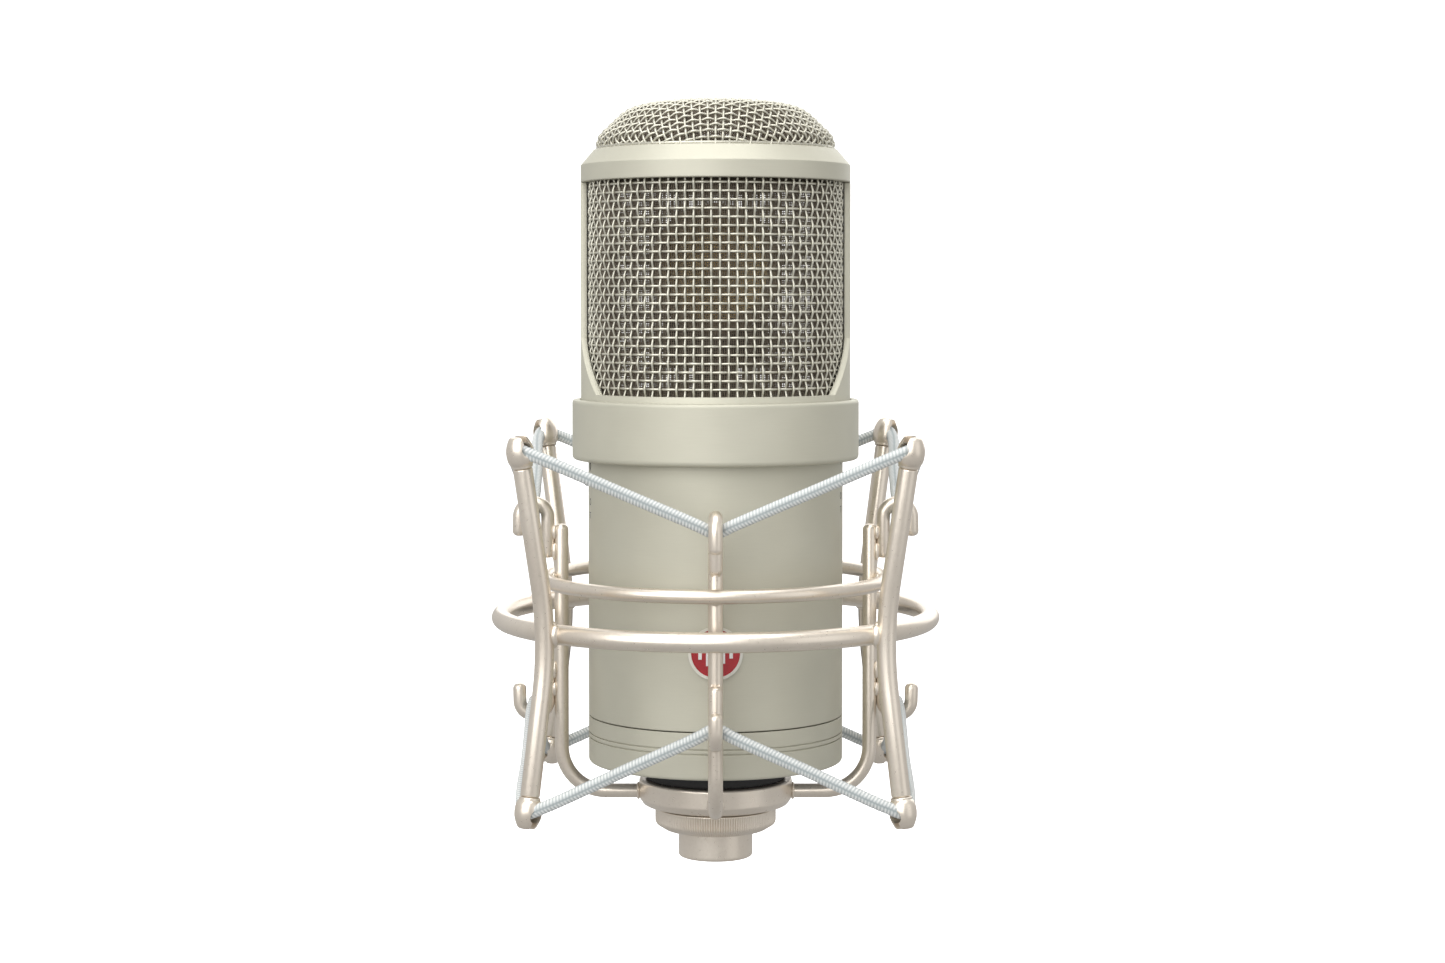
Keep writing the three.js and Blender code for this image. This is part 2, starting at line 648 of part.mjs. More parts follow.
/** A round bar along the tilt axis, between two places on it. */
function pivotBar(radius, start, end, sides = 16) {
  return bar(radius, start, end, sides).rotateY(Math.PI / 2).translate(0, 0, PIVOT_HEIGHT);
}

function washer(name, side) {
  const inner = LUG_HALF_THICKNESS + GAP;
  const outer = CHEEK_INNER - GAP;
  const ring = tube(SCREW_HOLE_RADIUS, LUG_RADIUS - 0.5, inner, outer, 24);
  ring.rotateY(side * Math.PI / 2).translate(0, 0, PIVOT_HEIGHT);
  return piece(name, ring, blackRubber());
}

function thumbScrew() {
  const shank = pivotBar(SCREW_RADIUS, -15, 13);
  const knob = new THREE.Shape();
  const lobes = 6;
  for (let i = 0; i < lobes * 6; i += 1) {
    const angle = i / (lobes * 6) * 2 * Math.PI;
    const radius = 9.3 + 1.1 * Math.cos(lobes * angle);
    const x = radius * Math.cos(angle);
    const y = radius * Math.sin(angle);
    if (i === 0) knob.moveTo(x, y);
    else knob.lineTo(x, y);
  }
  const head = new THREE.ExtrudeGeometry(knob, { depth: 13, bevelEnabled: false });
  head.translate(0, 0, 12).rotateY(Math.PI / 2).translate(0, 0, PIVOT_HEIGHT);
  const shoulder = pivotBar(6, CHEEK_OUTER + GAP, 12.5);
  return piece('thumb_screw', joined(shank, shoulder, head), blackPlastic());
}

function clampNut() {
  const hexagon = cut(
    pivotBar(5.77, -CHEEK_OUTER - GAP - 5, -CHEEK_OUTER - GAP, 6),
    pivotBar(SCREW_HOLE_RADIUS, -20, 0),
  );
  return piece('clamp_nut', hexagon, steel());
}

// ---- assembly ----

const hung = new THREE.Group();
hung.position.set(0, -PIVOT_TO_MIC_AXIS, PIVOT_HEIGHT - OUTER_RING_HEIGHT);
hung.add(
  domeGrille(), headRing(), headFrame(), sideGrille(), innerScreen(), collar(), ...capsule(),
  bodyTube(), bottomRing(), ...chassis(), ...electronics(), ...SWITCHES.map(slideSwitch), badge(),
  ...connector(),
  ...arms(), innerRing(), basketBase(), baseGasket(), ringNut(),
  ...posts(), outerRing(), elastic('upper_elastic', CORD_UPPER), elastic('lower_elastic', CORD_LOWER),
  tiltLug(),
);

const microphone = new THREE.Group();
microphone.add(
  hung, standSocket(), washer('washer_left', -1), washer('washer_right', 1), thumbScrew(), clampNut(),
);

export default microphone;
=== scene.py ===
"""Looks for a side-address condenser microphone hung in an elastic shock mount.

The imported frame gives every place: the microphone's axis and zero height come from its own
nodes, and shapes are then drawn in millimetres about that axis, +Z up, front towards -Y.
"""

import json
from math import acos, atan2, cos, pi, radians, sin, sqrt, tan

import bmesh
import bpy
import numpy as np
from mathutils import Matrix, Vector


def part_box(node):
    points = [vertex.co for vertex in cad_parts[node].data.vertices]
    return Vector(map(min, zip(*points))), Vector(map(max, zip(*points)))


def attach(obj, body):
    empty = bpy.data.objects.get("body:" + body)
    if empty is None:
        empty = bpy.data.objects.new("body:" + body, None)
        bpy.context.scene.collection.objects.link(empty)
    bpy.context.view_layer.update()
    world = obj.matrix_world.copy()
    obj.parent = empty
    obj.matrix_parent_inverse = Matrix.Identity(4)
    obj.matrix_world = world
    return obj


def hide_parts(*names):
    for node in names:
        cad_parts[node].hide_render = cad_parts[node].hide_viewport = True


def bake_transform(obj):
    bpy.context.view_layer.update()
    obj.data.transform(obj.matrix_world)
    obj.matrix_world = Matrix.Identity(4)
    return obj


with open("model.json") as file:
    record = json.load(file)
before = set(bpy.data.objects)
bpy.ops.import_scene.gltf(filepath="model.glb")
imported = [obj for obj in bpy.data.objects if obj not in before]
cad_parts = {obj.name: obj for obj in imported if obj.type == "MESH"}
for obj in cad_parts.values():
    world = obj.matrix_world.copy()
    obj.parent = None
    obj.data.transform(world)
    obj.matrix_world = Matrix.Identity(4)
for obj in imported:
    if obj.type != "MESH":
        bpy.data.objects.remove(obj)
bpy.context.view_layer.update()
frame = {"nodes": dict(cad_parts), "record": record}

MM = 0.001
PIVOT = Vector(frame["record"]["behaviour"]["joints"][0]["pos_m"])
STAND_ORIGIN = Vector((0, 0, 0))  # stand pieces are drawn about the stand thread's mouth
BODY_LOW, BODY_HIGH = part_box("body_tube")
PIVOT_ON_MIC = 61.9  # the tilt pivot's height above the microphone's zero
MIC_ZERO = Vector((
    (BODY_LOW.x + BODY_HIGH.x) / 2, (BODY_LOW.y + BODY_HIGH.y) / 2, PIVOT.z - PIVOT_ON_MIC * MM,
))


def mic_mm(world_height):
    """A world height as millimetres above the microphone's zero."""
    return (world_height - MIC_ZERO.z) / MM


def low(node):
    return mic_mm(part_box(node)[0].z)


def high(node):
    return mic_mm(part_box(node)[1].z)


def span(node):
    return low(node), high(node)


def radius_of(node):
    lo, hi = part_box(node)
    return (hi.x - lo.x) / 2 / MM


def placed(name, data):
    """A new object in the scene."""
    made = bpy.data.objects.new(name, data)
    bpy.context.scene.collection.objects.link(made)
    return made


# ---- materials

def new_material(name):
    material = bpy.data.materials.new(name)
    material.use_nodes = True
    nodes = material.node_tree.nodes
    return material, nodes, material.node_tree.links, nodes["Principled BSDF"]


def fill(node, values):
    """Sets a node's inputs by name or by number."""
    for key, value in values.items():
        node.inputs[key].default_value = value


def coordinates(nodes, links, stretch=(1, 1, 1)):
    place = nodes.new("ShaderNodeTexCoord")
    mapping = nodes.new("ShaderNodeMapping")
    mapping.inputs["Scale"].default_value = stretch
    links.new(place.outputs["Object"], mapping.inputs["Vector"])
    return mapping.outputs["Vector"]


def noise(nodes, links, vector, scale, detail=3.0, rough=0.5):
    texture = nodes.new("ShaderNodeTexNoise")
    fill(texture, {"Scale": scale, "Detail": detail, "Roughness": rough})
    links.new(vector, texture.inputs["Vector"])
    return texture.outputs["Fac"]


def ramp(nodes, links, value, start, end):
    """Maps a noise value round its middle to a range."""
    node = nodes.new("ShaderNodeMapRange")
    fill(node, {"From Min": 0.3, "From Max": 0.7, "To Min": start, "To Max": end})
    links.new(value, node.inputs["Value"])
    return node.outputs["Result"]


def tint(nodes, links, factor, dark, light):
    mix = nodes.new("ShaderNodeMix")
    mix.data_type = "RGBA"
    fill(mix, {"A": (*dark, 1), "B": (*light, 1)})
    links.new(factor, mix.inputs["Factor"])
    return mix.outputs["Result"]


def bump(nodes, links, shader, height, distance):
    node = nodes.new("ShaderNodeBump")
    fill(node, {"Strength": 1, "Distance": distance})
    links.new(height, node.inputs["Height"])
    links.new(node.outputs["Normal"], shader.inputs["Normal"])


def grained(name, dark, light, rough=(0.3, 0.4), metallic=0.0, grain=900.0, depth=4e-6,
            stretch=(1, 1, 1), coat=0.0):
    """A finish with slow colour drift, fine grain in its gloss and a matching bump."""
    material, nodes, links, shader = new_material(name)
    vector = coordinates(nodes, links, stretch)
    plain = coordinates(nodes, links)
    fine = noise(nodes, links, vector, grain, 4, 0.6)
    slow = noise(nodes, links, plain, 45, 2)
    blend = nodes.new("ShaderNodeMath")
    blend.operation = "ADD"
    half_fine = nodes.new("ShaderNodeMath")
    half_fine.operation = "MULTIPLY_ADD"
    fill(half_fine, {1: 0.5, 2: -0.25})
    links.new(fine, half_fine.inputs[0])
    links.new(half_fine.outputs[0], blend.inputs[0])
    links.new(slow, blend.inputs[1])
    drift = ramp(nodes, links, blend.outputs[0], 0, 1)
    links.new(tint(nodes, links, drift, dark, light), shader.inputs["Base Color"])
    links.new(ramp(nodes, links, fine, *rough), shader.inputs["Roughness"])
    fill(shader, {"Metallic": metallic, "Coat Weight": coat})
    bump(nodes, links, shader, fine, depth)
    return material


def board_material():
    """Green board with pale copper tracks under its lacquer."""
    material, nodes, links, shader = new_material("board_lacquer")
    vector = coordinates(nodes, links)
    tracks = nodes.new("ShaderNodeTexBrick")
    fill(tracks, {"Scale": 90, "Mortar Size": 0.03, "Color1": (0.02, 0.12, 0.05, 1),
                  "Color2": (0.025, 0.14, 0.06, 1), "Mortar": (0.08, 0.28, 0.12, 1)})
    links.new(vector, tracks.inputs["Vector"])
    links.new(tracks.outputs["Color"], shader.inputs["Base Color"])
    links.new(ramp(nodes, links, noise(nodes, links, vector, 400), 0.3, 0.5),
              shader.inputs["Roughness"])
    bump(nodes, links, shader, tracks.outputs["Fac"], 3e-5)
    return material


def knit_material():
    """Pale stitches with painted shade: the colour darkens to blue-grey where the knit sinks in, by
    how far each point stands out.
    """
    material, nodes, links, shader = new_material("knitted_elastic")
    painted_stitch_shade = nodes.new("ShaderNodeAttribute")
    painted_stitch_shade.attribute_name = "painted_stitch_shade"
    fibre = noise(nodes, links, coordinates(nodes, links), 6000, 3)
    # Painted shade: the dark end of this mix colours the grooves between stitches and between rows.
    colour = tint(nodes, links, painted_stitch_shade.outputs["Fac"], (0.31, 0.35, 0.355), (0.78, 0.79, 0.77))
    links.new(colour, shader.inputs["Base Color"])
    links.new(ramp(nodes, links, fibre, 0.55, 0.8), shader.inputs["Roughness"])
    fill(shader, {"Sheen Weight": 0.25, "Specular IOR Level": 0.35})
    bump(nodes, links, shader, fibre, 2e-5)
    return material


TURNED = (0.25, 0.25, 6)  # grain drawn out round a turned part
LACQUER = grained("satin_champagne_lacquer", (0.515, 0.50, 0.41), (0.56, 0.545, 0.45),
                  (0.46, 0.56), 0.35, 800, 5e-6, TURNED)
EDGE = grained("bright_machined_edge", (0.72, 0.70, 0.62), (0.80, 0.78, 0.71),
               (0.28, 0.36), 0.6, 900, 3e-6)
WIRE = grained("nickel_wire", (0.55, 0.53, 0.445), (0.67, 0.65, 0.555), (0.3, 0.42), 0.7,
               1500, 3e-6)
FINE_WIRE = grained("fine_screen_wire", (0.20, 0.165, 0.125), (0.27, 0.23, 0.18),
                    (0.5, 0.65), 0.3, 2500, 2e-6)
ROD = grained("satin_rod_nickel", (0.76, 0.68, 0.58), (0.83, 0.755, 0.655),
              (0.27, 0.35), 0.86, 1100, 2e-6)
# Painted shade: the capsule's brass colour is darkened for the shade it sits in inside the head.
SHADED_CAPSULE_BRASS = grained("capsule_brass_painted_shade", (0.22, 0.165, 0.10), (0.31, 0.235, 0.145),
                     (0.3, 0.45), 1, 900, 3e-6)
ZINC = grained("zinc_plate", (0.45, 0.46, 0.47), (0.6, 0.6, 0.6), (0.25, 0.4), 0.95, 700, 4e-6)
BRASS = grained("turned_brass", (0.62, 0.42, 0.16), (0.74, 0.53, 0.24), (0.22, 0.34), 1,
                900, 3e-6)
# Painted shade: the gold film's colour is dimmed for the shade inside the head.
SHADED_GOLD_FILM = grained("gold_film", (0.50, 0.35, 0.13), (0.60, 0.43, 0.18), (0.15, 0.25), 1, 300, 2e-6)
PLASTIC = grained("black_moulding", (0.012, 0.012, 0.013), (0.025, 0.025, 0.027),
                  (0.38, 0.52), 0, 1400, 1.2e-5)
RUBBER = grained("black_rubber", (0.012, 0.012, 0.012), (0.03, 0.03, 0.03), (0.6, 0.8), 0,
                 1200, 3e-5)
ELASTIC = knit_material()
ENAMEL = grained("red_enamel", (0.36, 0.008, 0.014), (0.44, 0.012, 0.02), (0.1, 0.18), 0, 500, 2e-6,
                 coat=0.6)
WHITE = grained("white_enamel", (0.78, 0.78, 0.76), (0.86, 0.86, 0.84), (0.12, 0.2), 0, 500, 2e-6,
                coat=0.6)
STAND_PAINT = grained("black_stand_paint", (0.02, 0.02, 0.021), (0.04, 0.04, 0.042),
                      (0.3, 0.42), 0.3, 1000, 1e-5)
INK = grained("printed_marks", (0.06, 0.06, 0.055), (0.1, 0.1, 0.09), (0.5, 0.6), 0, 1500, 2e-6)
BOARD = board_material()


# ---- shapes, in millimetres

class Shape:
    """Points and faces that grow as parts of one piece are added."""

    def __init__(self):
        self.points, self.faces, self.count = [], [], 0

    def add(self, points, faces):
        points = np.asarray(points, float).reshape(-1, 3)
        self.faces += [tuple(corner + self.count for corner in face) for face in faces]
        self.points.append(points)
        self.count += len(points)
        return self

    def moved(self, matrix):
        turn, step = np.array(matrix.to_3x3()), np.array(matrix.translation)
        self.points = [points @ turn.T + step for points in self.points]
        return self

    def joined(self, *others):
        for other in others:
            self.add(np.concatenate(other.points), other.faces)
        return self


def spin(degrees, axis):
    return Matrix.Rotation(radians(degrees), 4, axis)


def shift(x, y, z):
    return Matrix.Translation((x, y, z))


def grid_faces(rows, columns, close_rows=False):
    faces = []
    for row in range(rows if close_rows else rows - 1):
        after = (row + 1) % rows
        for column in range(columns):
            beside = (column + 1) % columns
            faces.append((row * columns + column, row * columns + beside,
                          after * columns + beside, after * columns + column))
    return faces


def round_path(radius, height, steps):
    """Even steps round the microphone's axis. The radius may change on the way round."""
    angle = np.arange(steps) * 2 * pi / steps
    return np.stack([radius * np.sin(angle), -radius * np.cos(angle), 0 * angle + height], -1)


def sweep(path, radius, sides=16, upright=(0, 0, 1), closed=False, round_ends=0.0):
    """A tube along a path. Its section is turned to an upright direction that the path never
    takes; the radius may change along the path, or round the section too."""
    path = np.asarray(path, float)
    radius = np.asarray(radius, float)
    if round_ends and not closed:
        path, radius = rounded_ends(path, float(radius), round_ends)
    if closed:
        along = np.roll(path, -1, 0) - np.roll(path, 1, 0)
    else:
        along = np.gradient(path, axis=0)
    along /= np.linalg.norm(along, axis=1)[:, None]
    upright = np.broadcast_to(np.asarray(upright, float), path.shape)
    normal = upright - (upright * along).sum(1)[:, None] * along
    normal /= np.linalg.norm(normal, axis=1)[:, None]
    across = np.cross(along, normal)
    angle = np.arange(sides) * 2 * pi / sides
    if radius.ndim == 0:
        radius = np.full(len(path), float(radius))
    if radius.ndim == 1:
        radius = np.repeat(radius[:, None], sides, 1)
    points = (path[:, None, :] + radius[:, :, None] * (
        np.cos(angle)[None, :, None] * normal[:, None, :]
        + np.sin(angle)[None, :, None] * across[:, None, :]))
    faces = grid_faces(len(path), sides, close_rows=closed)
    if not closed:
        last = (len(path) - 1) * sides
        faces.append(tuple(reversed(range(sides))))
        faces.append(tuple(last + i for i in range(sides)))
    return Shape().add(points, faces)


def rounded_ends(path, radius, size, steps=5):
    """Adds stations at both ends of a path where the tube's radius closes in."""
    size = min(size, radius * 0.98)
    turn = np.linspace(0, pi / 2, steps)
    inset, shrink = size * (1 - np.sin(turn)), size * (1 - np.cos(turn))
    head = (path[1] - path[0]) / np.linalg.norm(path[1] - path[0])
    tail = (path[-1] - path[-2]) / np.linalg.norm(path[-1] - path[-2])
    start = [path[0] + head * d for d in inset[::-1]]
    end = [path[-1] - tail * d for d in inset]
    keep = path[1:-1]
    stations = np.array([*start, *keep, *end])
    radii = np.array([*(radius - shrink[::-1]), *[radius] * len(keep), *(radius - shrink)])
    return stations, radii


def bent_path(corners, radii, steps=10):
    """A line through corners, each rounded to its own radius. The ends have none."""
    corners = [np.asarray(corner, float) for corner in corners]
    path = [corners[0]]
    for before, corner, after, radius in zip(corners, corners[1:], corners[2:], radii):
        come = (before - corner) / np.linalg.norm(before - corner)
        go = (after - corner) / np.linalg.norm(after - corner)
        angle = acos(float(np.clip(come @ go, -1, 1)))
        reach = radius / tan(angle / 2)
        middle = come + go
        centre = corner + middle / np.linalg.norm(middle) * radius / sin(angle / 2)
        start, end = corner + come * reach - centre, corner + go * reach - centre
        sweep_angle = pi - angle
        for i in range(steps + 1):
            t = i / steps
            path.append(centre + (sin((1 - t) * sweep_angle) * start
                                  + sin(t * sweep_angle) * end) / sin(sweep_angle))
    path.append(corners[-1])
    return np.array(path)


def soften(outline, radii, steps=5, support=0.25):
    """Rounds the corners of a closed outline and adds a point beside each rounding, so that
    smooth shading leaves the long faces flat. A corner with radius 0 stays sharp."""
    outline = [np.asarray(point, float) for point in outline]
    count = len(outline)
    if not hasattr(radii, "__len__"):
        radii = [radii] * count
    result = []
    for i, (corner, radius) in enumerate(zip(outline, radii)):
        if radius == 0:
            result.append(corner)
            continue
        come = outline[i - 1] - corner
        go = outline[(i + 1) % count] - corner
        come_length, go_length = np.linalg.norm(come), np.linalg.norm(go)
        come, go = come / come_length, go / go_length
        angle = acos(float(np.clip(come @ go, -1, 1)))
        reach = min(radius / tan(angle / 2), come_length * 0.48, go_length * 0.48)
        start, end = corner + come * reach, corner + go * reach
        if come_length > reach + 3 * support:
            result.append(start + come * support)
        for k in range(steps + 1):
            t = k / steps
            result.append((1 - t) ** 2 * start + 2 * t * (1 - t) * corner + t ** 2 * end)
        if go_length > reach + 3 * support:
            result.append(end + go * support)
    return result


def turned(outline, segments=160, closed=True, ripple=None):
    """A body of revolution. ripple(angle, radius, height) may add to each point's radius."""
    outline = np.asarray(outline, float)
    angle = np.arange(segments) * 2 * pi / segments
    radius = np.repeat(outline[:, 0][:, None], segments, 1)
    height = np.repeat(outline[:, 1][:, None], segments, 1)
    if ripple:
        radius = radius + ripple(angle[None, :], radius, height)
    points = np.stack([radius * np.sin(angle), -radius * np.cos(angle), height], -1)
    return Shape().add(points, grid_faces(len(outline), segments, close_rows=closed))


def turned_solid(outline, segments=160, ripple=None):
    """A body of revolution whose outline starts and ends on the axis."""
    body = turned(outline[1:-1], segments, closed=False, ripple=ripple)
    last = (len(outline) - 3) * segments
    bottom, top = body.count, body.count + 1
    body.add([(0, 0, outline[0][1]), (0, 0, outline[-1][1])], [])
    for i in range(segments):
        j = (i + 1) % segments
        body.faces.append((bottom, j, i))
        body.faces.append((top, last + i, last + j))
    return body


def bar(radius, start, end, sides=64):
    """A plain round bar on the axis."""
    return turned_solid([(0, start), (radius, start), (radius, end), (0, end)], sides)


def prism(outline, bottom, top):
    """An outline in x and y, pushed up from one height to another."""
    count = len(outline)
    points = [(x, y, bottom) for x, y in outline] + [(x, y, top) for x, y in outline]
    faces = [tuple(reversed(range(count))), tuple(range(count, 2 * count))]
    faces += [(i, (i + 1) % count, count + (i + 1) % count, count + i) for i in range(count)]
    return Shape().add(points, faces)


def box(corner, opposite):
    (x0, y0, z0), (x1, y1, z1) = corner, opposite
    return prism([(x0, y0), (x1, y0), (x1, y1), (x0, y1)], z0, z1)


def lump(centre, size, turn=0.0, waves=0.03):
    """A small weld bead: an ellipsoid with a slightly uneven skin."""
    rows, columns = 13, 20
    points = []
    for i in range(rows):
        up = pi * (i + 0.5) / rows - pi / 2
        for j in range(columns):
            round_ = 2 * pi * j / columns
            swell = 1 + waves * sin(3 * round_ + 2 * up) * cos(2 * up)
            x = size[0] * cos(up) * cos(round_) * swell
            y = size[1] * cos(up) * sin(round_) * swell
            z = size[2] * sin(up)
            points.append((x * cos(turn) - y * sin(turn) + centre[0],
                           x * sin(turn) + y * cos(turn) + centre[1], z + centre[2]))
    faces = grid_faces(rows, columns)
    faces.append(tuple(reversed(range(columns))))
    faces.append(tuple((rows - 1) * columns + j for j in range(columns)))
    return Shape().add(points, faces)


# ---- pieces

def make(name, shape, material, body, stands_for=(), origin=MIC_ZERO, sharp=35):
    """Turns a shape into a piece of the object that rides on a body."""
    mesh = bpy.data.meshes.new(name)
    points = np.concatenate(shape.points) * MM + np.array(origin)
    mesh.from_pydata(points.tolist(), [], shape.faces)
    mesh.materials.append(material)
    made = placed(name, mesh)
    finish_mesh(made, sharp)
    if body:
        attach(made, body)
    if stands_for:
        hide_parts(*stands_for)
    return made


def finish_mesh(made, sharp):
    """Points all faces outwards, and shades smooth except over edges sharper than an angle."""
    work = bmesh.new()
    work.from_mesh(made.data)
    bmesh.ops.recalc_face_normals(work, faces=work.faces)
    for face in work.faces:
        face.smooth = True
    limit = radians(sharp)
    for edge in work.edges:
        edge.smooth = len(edge.link_faces) != 2 or edge.calc_face_angle(0) < limit
    work.to_mesh(made.data)
    work.free()


def carve(made, tools, operation="DIFFERENCE", bevel=0.0, segments=2, sharp=35, origin=MIC_ZERO):
    """Cuts a piece with shapes, or joins them to it, and may then round its edges."""
    cutters = []
    for tool in tools:
        mesh = bpy.data.meshes.new("cutter")
        points = np.concatenate(tool.points) * MM + np.array(origin)
        mesh.from_pydata(points.tolist(), [], tool.faces)
        cutter = placed("cutter", mesh)
        finish_mesh(cutter, 180)
        change = made.modifiers.new("cut", "BOOLEAN")
        change.operation, change.object, change.solver = operation, cutter, "EXACT"
        cutters.append(cutter)
    if bevel:
        soft = made.modifiers.new("edges", "BEVEL")
        soft.width, soft.segments, soft.limit_method = bevel * MM, segments, "ANGLE"
        soft.angle_limit = radians(40)
        soft.harden_normals = False
    graph = bpy.context.evaluated_depsgraph_get()
    result = bpy.data.meshes.new_from_object(made.evaluated_get(graph))
    made.modifiers.clear()
    made.data = result
    for cutter in cutters:
        bpy.data.objects.remove(cutter)
    finish_mesh(made, sharp)
    return made


# ---- woven wire

WIRE_RADIUS = 0.31
WEAVE_PITCH = 2.14
DOME_PITCH = 2.085
UPRIGHTS = 94
SCREEN_WIRE = 0.145
SCREEN_PITCH = 0.56
DOME_CURVE = [(0, 196), (9, 195.9), (16, 195.3), (20.8, 194.4), (24.4, 192.5), (27.9, 189.2),
              (30.2, 186.9), (31.05, 184.9), (31.2, 182.7)]


def smooth_curve(points, steps=12):
    """A Catmull-Rom curve through points."""
    points = np.asarray(points, float)
    padded = np.vstack([2 * points[0] - points[1], points, 2 * points[-1] - points[-2]])
    result = []
    for i in range(1, len(padded) - 2):
        a, b, c, d = padded[i - 1:i + 3]
        for k in range(steps):
            t = k / steps
            result.append(0.5 * (2 * b + (c - a) * t + (2 * a - 5 * b + 4 * c - d) * t * t
                                 + (3 * b - a - 3 * c + d) * t ** 3))
    return np.array([*result, points[-1]])


class Meridian:
    """The dome's outline by arc length, for laying flat cloth or wire over it."""

    def __init__(self, points):
        curve = smooth_curve(points)
        steps = np.linalg.norm(np.diff(curve, axis=0), axis=1)
        self.reach = np.concatenate([[0], np.cumsum(steps)])
        self.radius, self.height = curve[:, 0], curve[:, 1]
        slope = np.gradient(curve, axis=0)
        slope /= np.linalg.norm(slope, axis=1)[:, None]
        self.out, self.up = -slope[:, 1], slope[:, 0]

    @property
    def length(self):
        return self.reach[-1]

    def lay(self, u, v, lift):
        """Where flat places (u, v) come on the dome, raised along its normal, and that normal."""
        far = np.hypot(u, v)
        turn = np.arctan2(u, -v)
        radius = np.interp(far, self.reach, self.radius)
        height = np.interp(far, self.reach, self.height)
        out, up = np.interp(far, self.reach, self.out), np.interp(far, self.reach, self.up)
        normal = np.stack([out * np.sin(turn), -out * np.cos(turn), up], -1)
        place = np.stack([radius * np.sin(turn), -radius * np.cos(turn), height], -1)
        return place + lift[:, None] * normal, normal


def dome_wires(meridian, pitch, wire, swing, inset, spacing, sides):
    """Wires both ways over the dome, passing over and under each other by the swing."""
    shape = Shape()
    edge = meridian.length
    lines = int(edge / pitch)
    for crosswise in (False, True):
        for k in range(-lines, lines + 1):
            offset = k * pitch
            if edge ** 2 - offset ** 2 < (2 * pitch) ** 2:
                continue
            half = sqrt(edge ** 2 - offset ** 2)
            along = np.linspace(-half, half, max(8, int(2 * half / spacing)))
            phase = np.cos(pi * (along / pitch + k)) * (-1 if crosswise else 1)
            lift = swing * phase - inset
            across = np.full_like(along, offset)
            u, v = (along, across) if crosswise else (across, along)
            path, normal = meridian.lay(u, v, lift)
            shape.joined(sweep(path, wire, sides, normal))
    return shape


def dome_grille():
    wires = dome_wires(Meridian(DOME_CURVE), DOME_PITCH, WIRE_RADIUS, WIRE_RADIUS,
                       2 * WIRE_RADIUS, DOME_PITCH / 3, 7)
    rim = turned(soften([(29.9, 182.95), (31.0, 182.95), (31.0, 183.6), (29.9, 183.6)], 0.2))
    make("dome_weave", wires.joined(rim), WIRE, "microphone", ["dome_grille"], sharp=60)


def side_grille():
    """The drum of plain weave: upright wires and hoops that cross over and under."""
    bottom, top = span("side_grille")
    middle = radius_of("side_grille") - 2 * WIRE_RADIUS
    rows = round((top - bottom) / WEAVE_PITCH)
    pitch = (top - bottom) / rows
    shape = Shape()
    height = np.linspace(bottom, top, rows * 3 + 1)
    for i in range(UPRIGHTS):
        angle = 2 * pi * (i + 0.5) / UPRIGHTS
        out = np.array([sin(angle), -cos(angle), 0])
        reach = middle + WIRE_RADIUS * np.cos(pi * ((height - bottom) / pitch - 0.5 + i))
        path = reach[:, None] * out + height[:, None] * np.array([0, 0, 1])
        shape.joined(sweep(path, WIRE_RADIUS, 7, out))
    steps = UPRIGHTS * 3
    angle = np.arange(steps) * 2 * pi / steps
    for j in range(rows):
        reach = middle - WIRE_RADIUS * np.cos(angle * UPRIGHTS / 2 + pi * (j - 0.5))
        path = round_path(reach, bottom + (j + 0.5) * pitch, steps)
        shape.joined(sweep(path, WIRE_RADIUS, 7, round_path(1, 0, steps), closed=True))
    make("side_weave", shape, WIRE, "microphone", ["side_grille"], sharp=60)


def inner_screen():
    """The fine mesh cup behind both grilles, with a turned hem at its open end."""
    bottom, top = low("inner_screen"), 173.2
    radius = radius_of("inner_screen") - SCREEN_WIRE
    shape = Shape()
    uprights = round(2 * pi * radius / SCREEN_PITCH)
    for i in range(uprights):
        angle = 2 * pi * i / uprights
        out = np.array([sin(angle), -cos(angle), 0])
        ends = np.array([radius * out + (0, 0, bottom), radius * out + (0, 0, top)])
        shape.joined(sweep(ends, SCREEN_WIRE, 4, out))
    for j in range(int((top - bottom) / SCREEN_PITCH)):
        path = round_path(radius - 2 * SCREEN_WIRE, bottom + (j + 0.5) * SCREEN_PITCH, 120)
        shape.joined(sweep(path, SCREEN_WIRE, 4, round_path(1, 0, 120), closed=True))
    inner = [(r * 0.945, 182.9 + (z - 182.9) * 0.9 - 0.2) for r, z in DOME_CURVE]
    shape.joined(dome_wires(Meridian([*inner, (29.4, 174.4)]), SCREEN_PITCH, SCREEN_WIRE,
                            SCREEN_WIRE, 0, 1.6, 4))
    hem = turned(soften([(29.2, 172.9), (31.4, 172.9), (31.4, 173.6), (29.2, 174.6)], 0.2))
    make("fine_screen", shape.joined(hem), FINE_WIRE, "microphone", ["inner_screen"], sharp=60)


# ---- microphone shells

def head_ring():
    lo, hi = span("head_ring")
    outline = [(35, lo), (35, 178.9), (31.6, hi), (30.3, hi), (30.3, lo)]
    make("head_ring_turned", turned(soften(outline, [0.3, 0.35, 0.3, 0.2, 0.3]), 192), LACQUER,
         "microphone", ["head_ring"])


BAR_HALF_WIDTH = 4.0
GUSSET_TOP = 134.2
GUSSET_HALF_WIDTH = 17.4
WINDOW_BOTTOM = 120.0


def head_frame():
    """The skirt and its two side bars, left by one slanted cut through the front and the back."""
    lo, hi = span("head_frame")
    outline = [(35, lo), (35, hi), (33.5, hi), (33.5, lo)]
    made = make("head_frame_shell", turned(soften(outline, 0.12, 2), 256), LACQUER,
                "microphone", ["head_frame"])
    windows = [side_prism([(side * back, height) for back, height in (
        (BAR_HALF_WIDTH, hi + 1), (BAR_HALF_WIDTH, GUSSET_TOP), (GUSSET_HALF_WIDTH, WINDOW_BOTTOM),
        (36, WINDOW_BOTTOM), (36, hi + 1))], 36) for side in (-1, 1)]
    carve(made, windows, bevel=0.16)


